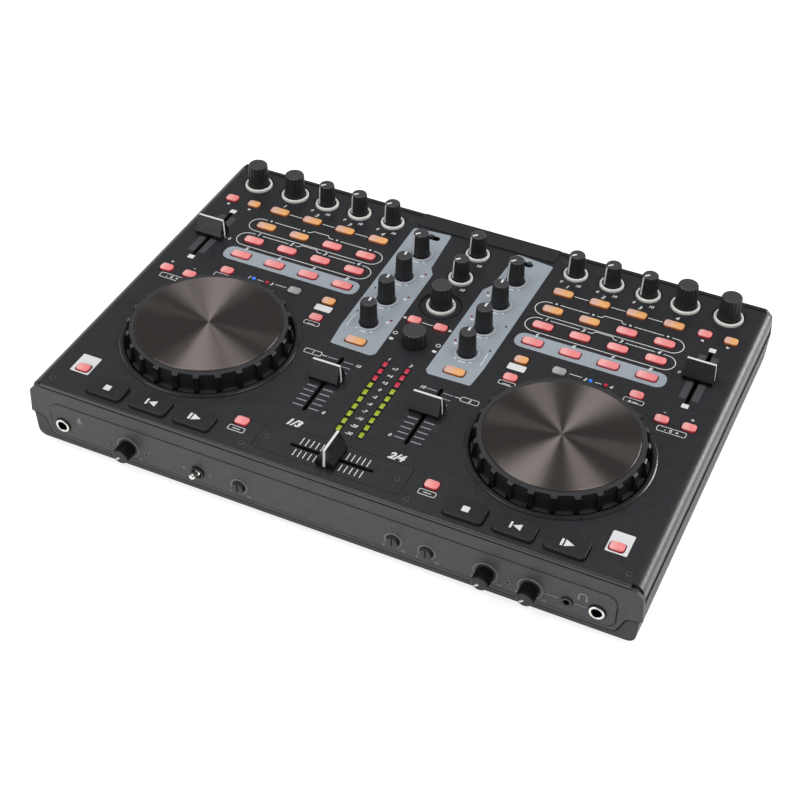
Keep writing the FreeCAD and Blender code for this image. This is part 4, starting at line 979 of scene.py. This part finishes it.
def make_collars():
    """The rings round the knobs: grey on the channel strips and white elsewhere."""
    names = [name for name in knob_nodes() if name != "select_knob" and not is_front_knob(name)]
    half = COLLAR_WALL / 2
    seat = COLLAR_HIGH - half * COLLAR_DOME
    for tone, strip in (("white", False), ("grey", True)):
        shape = bmesh.new()
        for name in names:
            if is_on_strip(name) != strip:
                continue
            x, y, radius = node_place(name)
            inner = radius + COLLAR_GAP
            profile = [(inner, COLLAR_LOW), (inner + COLLAR_WALL, COLLAR_LOW)]
            for r, z in arc_points(inner + half, seat, half, 0, 180, 8):
                profile.append((r, seat + (z - seat) * COLLAR_DOME))
            lathe(shape, profile, (x, y))
        piece = piece_from(shape, f"collars_{tone}", f"{tone}_collar", "casing", 50)
        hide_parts("knob_collars")


def make_lenses():
    """Meter windows and deck lights, one piece for each colour."""
    step = (METER_REAR_Y - METER_FRONT_Y) / (METER_SEGMENTS - 1)
    groups = {
        "meter_green": ("green_lens", []),
        "meter_red": ("red_lens", []),
        "lights_blue": ("blue_lens", []),
        "lights_red": ("red_lens", []),
    }
    for side in SIDES.values():
        for n in range(METER_SEGMENTS):
            title = "meter_red" if n >= METER_SEGMENTS - METER_RED else "meter_green"
            outline = rectangle(side * METER_X, METER_FRONT_Y + step * n, SEGMENT_SIZE, SEGMENT_CORNER, 2)
            groups[title][1].append((outline, LENS_TOP))
        for title, x in zip(("lights_blue", "lights_red"), sorted(side * x for x in LIGHT_X)):
            groups[title][1].append((circle(x, LIGHT_Y, LIGHT_RADIUS), LIGHT_TOP))
    for title, (material, lenses) in groups.items():
        shape = bmesh.new()
        for outline, top in lenses:
            x = sum(u for u, _ in outline) / len(outline)
            y = sum(v for _, v in outline) / len(outline)
            rings = []
            for size, z in ((1.0, LENS_LOW), (1.0, top - LENS_EDGE), (LENS_TAPER, top)):
                rings.append([at(x + (u - x) * size, y + (v - y) * size, z) for u, v in outline])
            loft(shape, rings)
        piece = piece_from(shape, title, material, "casing")
        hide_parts("indicator_lenses")


def make_disc(name, side):
    """The turned metal plate of a jog wheel, with a bright chamfer and a small dimple in the middle."""
    profile = [
        (DISC_BORE, DISC_TOP - DISC_THICKNESS),
        (DISC_RADIUS, DISC_TOP - DISC_THICKNESS),
        (DISC_RADIUS, DISC_TOP - DISC_CHAMFER[1]),
        (DISC_RADIUS - DISC_SOFT, DISC_TOP - DISC_SOFT),
        (DISC_RADIUS - DISC_CHAMFER[0], DISC_TOP),
        (DIMPLE_RADIUS, DISC_TOP),
        (DIMPLE_SHOULDER[0], DISC_TOP - DIMPLE_SHOULDER[1]),
        (DISC_BORE, DISC_TOP - DIMPLE_DEPTH),
    ]
    shape = bmesh.new()
    lathe(shape, profile, (side * JOG_PLACE[0], JOG_PLACE[1]), segments=160)
    piece = piece_from(shape, f"jog_plate_{name}", "brushed_disc", f"jog_wheel_{name}", 20)
    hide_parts(f"jog_disc_{name}")


# Pointers and lines on the moving pieces


def pointer_turn(name):
    """Which way a pointer faces at rest: tone knobs stand at their middle."""
    return MIDDLE_TURN if name.split("_")[0] in ("treble", "middle", "bass") else LOW_TURN


def make_pointer(name):
    """A white line on a knob: from near the middle of its top, over the edge and down its side."""
    low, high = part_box(name)
    middle = (low + high) / 2
    angle = math.radians(pointer_turn(name))
    if is_front_knob(name):
        axis = Vector((0, -1, 0))
        out = Vector((math.cos(angle), 0, math.sin(angle)))
        base = Vector((middle.x, 0, middle.z))
        top = -low.y
        foot = -FRONT_FACE + POINTER_FOOT_FRONT * MM
    else:
        axis = Vector((0, 0, 1))
        out = Vector((math.cos(angle), math.sin(angle), 0))
        base = Vector((middle.x, middle.y, 0))
        top = high.z
        foot = PANEL_TOP + POINTER_FOOT * MM
    base_radius = (high.x - low.x) / 2
    top_radius = base_radius - KNOB_TAPER * MM
    slope = KNOB_TAPER * MM / (top - foot)
    edge = KNOB_ROUND * MM
    steps = [
        (POINTER_START * MM, top, 0, 1),
        (top_radius - edge, top, 0, 1),
        (top_radius - EDGE_MIDDLE * edge, top - EDGE_MIDDLE * edge, SLANT, SLANT),
        (top_radius, top - edge, 1, slope),
        (base_radius - POINTER_SINK * MM, foot, 1, slope),
    ]
    points = [base + out * r + axis * h for r, h, _, _ in steps]
    normals = [out * r + axis * h for _, _, r, h in steps]
    shape = bmesh.new()
    sizes = [size * MM for size in (POINTER_WIDTH, POINTER_PROUD, POINTER_ROOT)]
    ribbon(shape, points, normals, axis.cross(out), *sizes)
    piece_from(shape, f"pointer_{name}", "white_ink", name, 50)


def make_fader_line(name):
    """The white line along the ridge of a fader cap and down both of its ends."""
    low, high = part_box(name)
    middle = (low + high) / 2
    across = Vector((0, 1, 0)) if name == "crossfader" else Vector((1, 0, 0))
    half = abs((high - low).dot(across)) / 2
    end = [
        (half, PANEL_TOP + FADER_LINE_FOOT * MM, 1, 0),
        (half, PANEL_TOP + FADER_SHOULDER * MM, 1, FADER_LINE_LEAN),
        (half - FADER_DRAFT * MM, high.z, SLANT, SLANT),
    ]
    points = []
    normals = []
    for side in (-1, 1):
        for reach, z, out, up in end if side < 0 else reversed(end):
            points.append(Vector((middle.x, middle.y, z)) + across * side * reach)
            normals.append(across * side * out + Vector((0, 0, up)))
    shape = bmesh.new()
    sizes = [size * MM for size in (FADER_LINE_WIDTH, FADER_LINE_PROUD, FADER_LINE_ROOT)]
    ribbon(shape, points, normals, Vector((0, 0, 1)).cross(across), *sizes)
    piece_from(shape, f"line_{name}", "white_ink", name, 50)


def bar_and_arrow(signs, x, facing, height, bar_width, bar_x, arrow_x):
    signs.area(rectangle(x + bar_x, TRANSPORT_Y, (bar_width, height), FINE_CORNER, 2))
    signs.area(triangle(x + arrow_x, TRANSPORT_Y, height, facing))


def make_key_icons(name, side):
    """Plain transport signs on the keys: a square, a step back, and bar with triangle to start."""
    signs = Print(at)
    stop, back, start = sorted(side * x for x in TRANSPORT_X)
    signs.area(rectangle(stop, TRANSPORT_Y, STOP_SIGN, SIGN_CORNER, 2))
    bar_and_arrow(signs, back, -1, *BACK_SIGN)
    bar_and_arrow(signs, start, 1, *START_SIGN)
    node = f"transport_keys_{name}"
    top = (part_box(node)[1].z - PANEL_TOP) / MM
    signs.piece(f"key_signs_{name}", "white_ink", node, "collar_plastic", top + SIGN_PROUD, top - SIGN_ROOT)


# Print on the panel


def cap_opening(x, y, size):
    """The outline of the panel's cut-out round a cap, which print stays clear of."""
    return rectangle(x, y, (size[0] + 2 * CAP_ROOM, size[1] + 2 * CAP_ROOM), CAP_CORNER)


def print_strips():
    """Filled grey-blue areas: the channel strips and the lowest row of pads."""
    strips = Print(at)
    for side in SIDES.values():
        outline = [(side * x, y) for x, y in STRIP_CORNERS]
        cue = cap_opening(side * CUE_PLACE[0], CUE_PLACE[1], WIDE_CAP)
        slot = rectangle(side * SOURCE_PLACE[0], SOURCE_PLACE[1], SOURCE_SLOT, SOURCE_CORNER, 8)
        strips.area(rounded_corners(outline, STRIP_ROUND), (cue, slot))
        pads = [cap_opening(side * x, PAD_ROWS[3], WIDE_CAP) for x in PAD_COLUMNS]
        strips.area(rectangle(side * PILL_MIDDLE, PAD_ROWS[3], PILL_SIZE, PILL_CORNER, 10), pads)
    strips.piece("print_strips", "strip_ink", "casing", "collar_plastic", STRIP_INK)


def pill_outline(white, side, y):
    """An outline round a row of pads, open at the top where each pad has its figure."""
    radius = PILL_SIZE[1] / 2
    reach = PILL_SIZE[0] / 2 - radius
    middle = side * PILL_MIDDLE
    top = y + radius
    columns = sorted(side * x for x in PAD_COLUMNS)
    ends = arc_points(middle - reach, y, radius, 90, 270, 12)
    ends += arc_points(middle + reach, y, radius, -90, 90, 12)
    white.line([(columns[0] - PILL_GAP, top), *ends, (columns[3] + PILL_GAP, top)])
    foot, head, rise = PILL_HUMP
    hump = [(middle - foot, top), (middle - head, top + rise)]
    hump += [(middle + head, top + rise), (middle + foot, top)]
    for column, (here, there) in enumerate(zip(columns, columns[1:])):
        between = hump if column == 1 else []
        white.line([(here + PILL_GAP, top), *between, (there - PILL_GAP, top)])


def print_pads(white, side):
    """A figure or a dot above each pad, links along the rear row and outlines round the two middle rows."""
    columns = sorted(side * x for x in PAD_COLUMNS)
    for row, y in enumerate(PAD_ROWS):
        for column, x in enumerate(columns):
            if row == 1:
                white.dot(x, y + PAD_DOT_RISE)
            else:
                figure = str(column + 1 + (len(columns) if row == 3 else 0))
                white.text(figure, x + PAD_FIGURE_PLACE[0], y + PAD_FIGURE_PLACE[1], PAD_FIGURE)
    gap = WIDE_CAP[0] / 2 + PAD_LINK_GAP
    for here, there in zip(columns, columns[1:]):
        white.level(here + gap, there - gap, PAD_ROWS[0])
    for y in PAD_ROWS[1:3]:
        pill_outline(white, side, y)


def print_knob_scales(white):
    """Plain figures at both ends of each knob's turn; dots on the channel strips."""
    for name in knob_nodes():
        if is_front_knob(name) or not has_stops(name):
            continue
        x, y, _ = node_place(name)
        if is_on_strip(name):
            for across, along in STRIP_DOTS:
                white.dot(x + across, y + along)
            white.level(x - STRIP_DASH[0], x + STRIP_DASH[0], y + STRIP_DASH[1], BOLD_LINE)
        else:
            for figure, across in KNOB_FIGURES:
                white.text(figure, x + across, y - KNOB_FIGURE_DROP, KNOB_FIGURE)


def print_channel_fader(white, grey, side):
    """The scale of a channel fader, its label and the figures of the decks that it serves."""
    x = side * CHANNEL_PLACE[0]
    bottom = CHANNEL_PLACE[1] - FADER_TRAVEL / 2
    top = CHANNEL_PLACE[1] + FADER_TRAVEL / 2
    near, far = TICK_ENDS
    for n in range(FADER_TICKS):
        y = bottom + FADER_TRAVEL / (FADER_TICKS - 1) * n
        for hand in (-1, 1):
            grey.level(x + hand * near, x + hand * far, y, TICK_WIDTH)
    white.level(x + side * CHANNEL_LEAD[0], x + side * CHANNEL_LEAD[1], top)
    white.label(x + side * CHANNEL_LABEL_X, top, CHANNEL_LABEL)
    white.text("1" if side < 0 else "2", x + side * CHANNEL_LABEL_X, top, CHANNEL_LABEL_FIGURE)
    white.text("10", x - side * CHANNEL_FIGURE_X, top, FADER_FIGURE)
    white.text("0", x - side * CHANNEL_FIGURE_X, bottom, FADER_FIGURE)
    white.text("1/3" if side < 0 else "2/4", x, PAIR_Y, PAIR_FIGURE, bold=PAIR_BOLD)


def print_pitch_fader(white, dim, side):
    """The paler fields beside a pitch fader's slot, its middle mark and a square at each end."""
    x, middle = side * PITCH_PLACE[0], PITCH_PLACE[1]
    for end in (-1, 1):
        for hand in (-1, 1):
            field = (x + hand * PITCH_FIELD_PLACE[0], middle + end * PITCH_FIELD_PLACE[1])
            dim.area(rectangle(*field, PITCH_FIELD, FINE_CORNER, 1))
        white.area(rectangle(x, middle + end * PITCH_END_Y, PITCH_END, SIGN_CORNER, 2))
    white.level(x - side * PITCH_LEAD[0], x - side * PITCH_LEAD[1], middle)
    white.text("0", x - side * PITCH_FIGURE_X, middle, FADER_FIGURE)


def print_crossfader(white):
    """Two rows of ticks along the crossfader's slot."""
    spacing = CROSSFADER_SCALE / (CROSSFADER_TICKS - 1)
    for n in range(CROSSFADER_TICKS):
        x = -CROSSFADER_SCALE / 2 + spacing * n
        for near, far in CROSSFADER_TICK_ENDS:
            white.line([(x, CROSSFADER_Y + near), (x, CROSSFADER_Y + far)], CROSSFADER_TICK_WIDTH)


def print_mixer(white, black):
    """Dark fields and figures of the meters, the ring round the browse knob and signs beside the buttons."""
    step = (METER_REAR_Y - METER_FRONT_Y) / (METER_SEGMENTS - 1)
    middle = (METER_REAR_Y + METER_FRONT_Y) / 2
    length = METER_REAR_Y - METER_FRONT_Y + SEGMENT_SIZE[1] + METER_MARGIN[1]
    for n, figure in enumerate(METER_FIGURES):
        y = METER_REAR_Y + METER_FIGURE_PLACE[1] - step * n
        white.text(figure, METER_FIGURE_PLACE[0], y, METER_FIGURE)
    x, y, _ = node_place("browse_knob")
    black.line(circle(x, y, BROWSE_RING, 72), BOLD_LINE, closed=True)
    reach = LOAD_PLACE[0] - SMALL_CAP[0] / 2 - LOAD_LINE_GAP
    white.level(-reach, reach, LOAD_PLACE[1])
    for side in SIDES.values():
        back = (SEGMENT_SIZE[0] + METER_MARGIN[0], length)
        black.area(rectangle(side * METER_X, middle, back, SIGN_CORNER, 2))
        white.text("1" if side < 0 else "2", side * METER_X, METER_REAR_Y + METER_TITLE_RISE, LABEL_FIGURE)
        white.area(triangle(side * LOAD_ARROW_X, LOAD_PLACE[1], LOAD_ARROW, side))
        ring = circle(side * SELECT_RING_PLACE[0], SELECT_RING_PLACE[1], SELECT_RING, 12)
        white.line(ring, closed=True)
        box = (side * SELECT_BOX_PLACE[0], SELECT_BOX_PLACE[1])
        white.area(rectangle(*box, SELECT_BOX, SELECT_CORNER, 2))


def print_lights(white, side):
    """Lines and figures beside the deck lights."""
    left, right = sorted(side * x for x in LIGHT_X)
    select = side * PAD_COLUMNS[2]
    white.level(select + side * SELECT_LINE_START, side * SELECT_LINE_END, LIGHT_Y + SELECT_LINE_RISE)
    white.level(left + LIGHT_LINE_GAP, right - LIGHT_LINE_GAP, LIGHT_Y)
    first, second = ("1", "3") if side < 0 else ("2", "4")
    white.text(first, left - LIGHT_FIGURE_GAPS[0], LIGHT_Y, DECK_FIGURE)
    white.text(second, right + LIGHT_FIGURE_GAPS[1], LIGHT_Y, DECK_FIGURE)


def print_deck(white, side):
    """White fields, outlined labels and small signs beside the buttons of a deck."""
    shift = cap_opening(side * SHIFT_PLACE[0], SHIFT_PLACE[1], SMALL_CAP)
    field = rectangle(side * SHIFT_FIELD_PLACE[0], SHIFT_FIELD_PLACE[1], SHIFT_FIELD, FIELD_CORNER, 3)
    white.area(field, [shift])
    bend = side * sum(LOOP_X) / 2
    white.label(bend, BEND_Y - BEND_LABEL_DROP, BEND_LABEL)
    white.text("-  0  +", bend, BEND_Y - BEND_LABEL_DROP, LABEL_FIGURE, 0)
    lock = side * PAD_COLUMNS[0]
    white.label(lock, LOCK_Y - LABEL_DROP, LOCK_LABEL)
    white.dot(lock + LOCK_DOT_X, LOCK_Y - LABEL_MARK_DROP, SMALL_DOT)
    white.level(lock + LOCK_DASH[0], lock + LOCK_DASH[1], LOCK_Y - LABEL_MARK_DROP)
    sync = side * PAD_COLUMNS[3]
    white.area(rectangle(sync, LOCK_Y - SYNC_FIELD_DROP, SYNC_FIELD, FIELD_CORNER, 3))
    white.label(sync, SYNC_LOWER_Y - LABEL_DROP, SYNC_LABEL)
    white.level(sync - LABEL_DASH, sync + LABEL_DASH, SYNC_LOWER_Y - LABEL_MARK_DROP)
    link, link_y = side * LINK_PLACE[0], LINK_PLACE[1] - LINK_LABEL_DROP
    white.label(link, link_y, LINK_LABEL)
    white.level(link - LABEL_DASH, link + LABEL_DASH, link_y)
    for x, sign in zip(LOOP_X, (1, -1)):
        white.area(triangle(side * x, PAD_ROWS[0] - LOOP_ARROW_DROP, LOOP_ARROW, side * sign))
        white.text("+" if sign > 0 else "-", side * x, BEND_Y + BEND_SIGN_RISE, DECK_FIGURE, 0)


def print_strip_marks(white, red, black, side):
    """Small red and dark dots beside the tone knobs, and the thin line of each strip."""
    for y in STRIP_ROWS[1:]:
        red.dot(side * STRIP_RED_DOT[0], y + STRIP_RED_DOT[1], RED_DOT_RADIUS)
        white.area(rectangle(side * STRIP_BOX[0], y + STRIP_BOX[1], STRIP_BOX_SIZE, FINE_CORNER, 1))
    for y in STRIP_ROWS[2:]:
        black.dot(side * STRIP_BLACK_DOT[0], y + STRIP_BLACK_DOT[1], SMALL_DOT)
    white.line([(side * x, y) for x, y in STRIP_LINE])


def print_panel():
    """All lines, figures and signs on the panel, one piece for each ink."""
    layers = {name: Print(at) for name in PANEL_LAYERS}
    white, grey, dim, red, black = layers.values()
    for side in SIDES.values():
        print_pads(white, side)
        print_lights(white, side)
        print_deck(white, side)
        print_channel_fader(white, grey, side)
        print_pitch_fader(white, dim, side)
        print_strip_marks(white, red, black, side)
    print_knob_scales(white)
    print_crossfader(white)
    print_mixer(white, black)
    for name, (record_slot, height) in PANEL_LAYERS.items():
        layers[name].piece(f"print_{name}", f"{name}_ink", "casing", record_slot, height)


# Front and rear


def print_front_scales(grey):
    """Arcs and end figures round the front controls, and figures beside the toggle."""
    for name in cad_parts:
        if "trimmer" in name or ("_knob" in name and is_front_knob(name)):
            x, _, half = node_place(name)
            reach = half + FRONT_ARC_GAP
            grey.line(arc_points(x, FRONT_ROW_Z, reach, *FRONT_ARC_TURN, 28), FRONT_ARC_WIDTH)
            for figure, hand, gap in FRONT_FIGURES:
                place = (x + hand * (reach + gap), FRONT_ROW_Z - FRONT_FIGURE_DROP)
                grey.text(figure, *place, FRONT_FIGURE, 0)
    for figure, x in TOGGLE_FIGURES:
        grey.text(figure, x, FRONT_ROW_Z, TOGGLE_FIGURE, 0)


def print_front():
    """Scales of the front controls, and plain signs for headphones and microphone."""
    grey = Print(on_front)
    print_front_scales(grey)
    knob_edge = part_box("phones_level_knob")[1].x / MM
    line_z = FRONT_ROW_Z + PHONES_LINE_RISE
    grey.level(knob_edge + KNOB_LINE_GAP, SMALL_JACK_X - SMALL_JACK_GAP, line_z)
    grey.level(SMALL_JACK_X + SMALL_JACK_GAP, LARGE_JACKS_X[1] - LARGE_JACK_GAP, line_z)
    x, z = PHONES_SIGN
    grey.line(arc_points(x, z, PHONES_BAND, 190, -10, 16), PHONES_BAND_WIDTH)
    for hand in (-1, 1):
        ear = (x + hand * PHONES_EAR_PLACE[0], z + PHONES_EAR_PLACE[1])
        grey.area(rectangle(*ear, PHONES_EAR, SIGN_CORNER, 2))
    x, z = MICROPHONE_SIGN
    grey.area(rectangle(x, z, MICROPHONE_HEAD, MICROPHONE_ROUND, 4))
    grey.line(arc_points(x, z - MICROPHONE_CRADLE_DROP, MICROPHONE_CRADLE, 200, 340, 10))
    grey.line([(x, z + end) for end in MICROPHONE_STEM])
    grey.piece("print_front", "grey_ink", "casing", "collar_plastic", LINE_INK)


def make_shadow_lines():
    """Painted shadow lines: thin dark strips below the front plate and below the fascia, standing in for the
    shade in those seams.
    """
    low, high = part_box("front_plate")
    side = high.x / MM + SHADOW_REACH
    bottom = (low.z - PANEL_TOP) / MM - SHADOW_REACH
    plate_shadow_line = Print(on_fascia)
    corners = [(side, PLATE_SHADOW_TOP), (side, bottom), (-side, bottom), (-side, PLATE_SHADOW_TOP)]
    plate_shadow_line.line(open_path(corners, PLATE_CORNER + SHADOW_REACH), SHADOW_LINE_WIDTH)
    plate_shadow_line.piece("plate_shadow_line", "black_ink", "casing", "rubber", STRIP_INK)
    case_shadow_line = Print(on_case)
    corners = list(CASE_SHADOW_CORNERS) + [(-x, z) for x, z in reversed(CASE_SHADOW_CORNERS)]
    case_shadow_line.line(open_path(corners, CASE_SHADOW_ROUND), SHADOW_LINE_WIDTH)
    case_shadow_line.piece("case_shadow_line", "black_ink", "casing", "rubber", STRIP_INK)


def make_rings(title, material, middles, place, sizes):
    """Flat rings with soft edges round sockets on an upright face, as one piece."""
    inner, outer, start, end = sizes
    edge = end - RING_EDGE
    profile = [(inner, start), (outer, start), (outer, edge)]
    profile += [(outer - RING_EDGE, end), (inner + RING_EDGE, end), (inner, edge)]
    shape = bmesh.new()
    for middle in middles:
        lathe(shape, profile, middle, place, 48)
    piece_from(shape, title, material, "casing")


def make_socket_rings():
    """Bright rings at the front sockets, and white and red insulating rings in pairs at the rear ones; the
    red rings take the red lens plastic and so give off a faint painted glow.
    """
    jacks = [(x, FRONT_ROW_Z) for x in LARGE_JACKS_X]
    make_rings("jack_rings", "bright_metal", jacks, on_front, JACK_RING)
    phonos = [(x, SOCKET_Z) for x in PHONO_X]
    make_rings("phono_rings_white", "white_collar", phonos[0::2], on_rear, PHONO_RING)
    make_rings("phono_rings_red", "red_lens", phonos[1::2], on_rear, PHONO_RING)


# Stage


def seen_rays(tree):
    """One for rays that the camera, gloss or glass sends out, zero for rays that gather light."""
    rays = add_node(tree, "LightPath").outputs
    sight = add_node(tree, "Math", rays["Is Camera Ray"], rays["Is Glossy Ray"], operation="MAXIMUM")
    glass = rays["Is Transmission Ray"]
    return add_node(tree, "Math", sight.outputs["Value"], glass, operation="MAXIMUM").outputs["Value"]


def make_floor():
    """A wide pale floor that shows white to the camera and still takes the shadow."""
    mesh = bpy.data.meshes.new("floor")
    corners = [(x * FLOOR_HALF, y * FLOOR_HALF, 0) for x, y in ((-1, -1), (1, -1), (1, 1), (-1, 1))]
    mesh.from_pydata(corners, [], [(0, 1, 2, 3)])
    floor = bpy.data.objects.new("floor", mesh)
    bpy.context.scene.collection.objects.link(floor)
    floor.location.z = cad_box[0].z - FLOOR_GAP
    tree, shader = new_material("floor", (0.6, 0.6, 0.6), 0.9, specular=0.0)
    strength = add_node(tree, "Math", seen_rays(tree), FLOOR_GLOW, operation="MULTIPLY").outputs["Value"]
    glow = add_node(tree, "Emission", Strength=strength)
    both = add_node(tree, "AddShader", shader.outputs["BSDF"], glow.outputs["Emission"])
    feed(tree, tree.nodes["Material Output"].inputs["Surface"], both.outputs["Shader"])
    mesh.materials.append(materials["floor"])


def make_world():
    """A plain white wall to the camera, under a dim ceiling in reflections; its light is even and soft."""
    world = bpy.data.worlds.new("studio")
    bpy.context.scene.world = world
    world.use_nodes = True
    tree = world.node_tree
    background = tree.nodes["Background"]
    direction = add_node(tree, "TexCoord").outputs["Generated"]
    height = add_node(tree, "SeparateXYZ", Vector=direction).outputs["Z"]
    wall = remap(tree, height, *WALL_SPAN, *WALL_LIGHT)
    seen = add_node(tree, "Mix", data_type="FLOAT", Factor=seen_rays(tree), A=AIR_LIGHT, B=wall)
    camera_ray = add_node(tree, "LightPath").outputs["Is Camera Ray"]
    plain = add_node(tree, "Mix", data_type="FLOAT", Factor=camera_ray, A=seen.outputs["Result"], B=1.0)
    feed(tree, background.inputs["Strength"], plain.outputs["Result"])
    background.inputs["Color"].default_value = (1, 1, 1, 1)


def make_lamp(name, place, size, power, along):
    """A soft lamp that faces the middle of the object, its length level and along a direction in plan."""
    light = bpy.data.lights.new(name, "AREA")
    light.shape = "RECTANGLE"
    light.energy = power
    light.size, light.size_y = size
    lamp = bpy.data.objects.new(name, light)
    bpy.context.scene.collection.objects.link(lamp)
    lamp.location = place
    back = (Vector(place) - (cad_box[0] + cad_box[1]) / 2).normalized()
    level = Vector((math.cos(math.radians(along)), math.sin(math.radians(along)), 0))
    across = level.cross(back).normalized()
    lamp.rotation_euler = Matrix((across, back.cross(across), back)).transposed().to_euler()


def make_camera():
    """A camera that sees the object as the photograph does."""
    camera = bpy.data.cameras.new("camera")
    camera.lens = CAMERA_LENS
    camera.sensor_width = CAMERA_SENSOR
    camera.clip_start = CAMERA_NEAR
    holder = bpy.data.objects.new("camera", camera)
    bpy.context.scene.collection.objects.link(holder)
    holder.location = at(*CAMERA_PLACE)
    holder.rotation_euler = [math.radians(angle) for angle in CAMERA_TURN]
    bpy.context.scene.camera = holder


finish_nodes()
make_collars()
make_lenses()
print_strips()
print_panel()
print_front()
make_shadow_lines()
make_socket_rings()
make_caps(mixer_caps(), "mixer_buttons")
for side_name, side_sign in SIDES.items():
    make_caps(deck_caps(side_sign), f"deck_buttons_{side_name}")
    make_disc(side_name, side_sign)
    make_key_icons(side_name, side_sign)
for node_name in list(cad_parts):
    if "fader" in node_name and node_name != "crossfader_plate":
        make_fader_line(node_name)
for node_name in knob_nodes():
    if has_stops(node_name):
        make_pointer(node_name)

make_floor()
make_world()
for lamp_name, lamp_values in LAMPS.items():
    make_lamp(lamp_name, *lamp_values)
make_camera()
bpy.context.scene.view_settings.view_transform = "Standard"
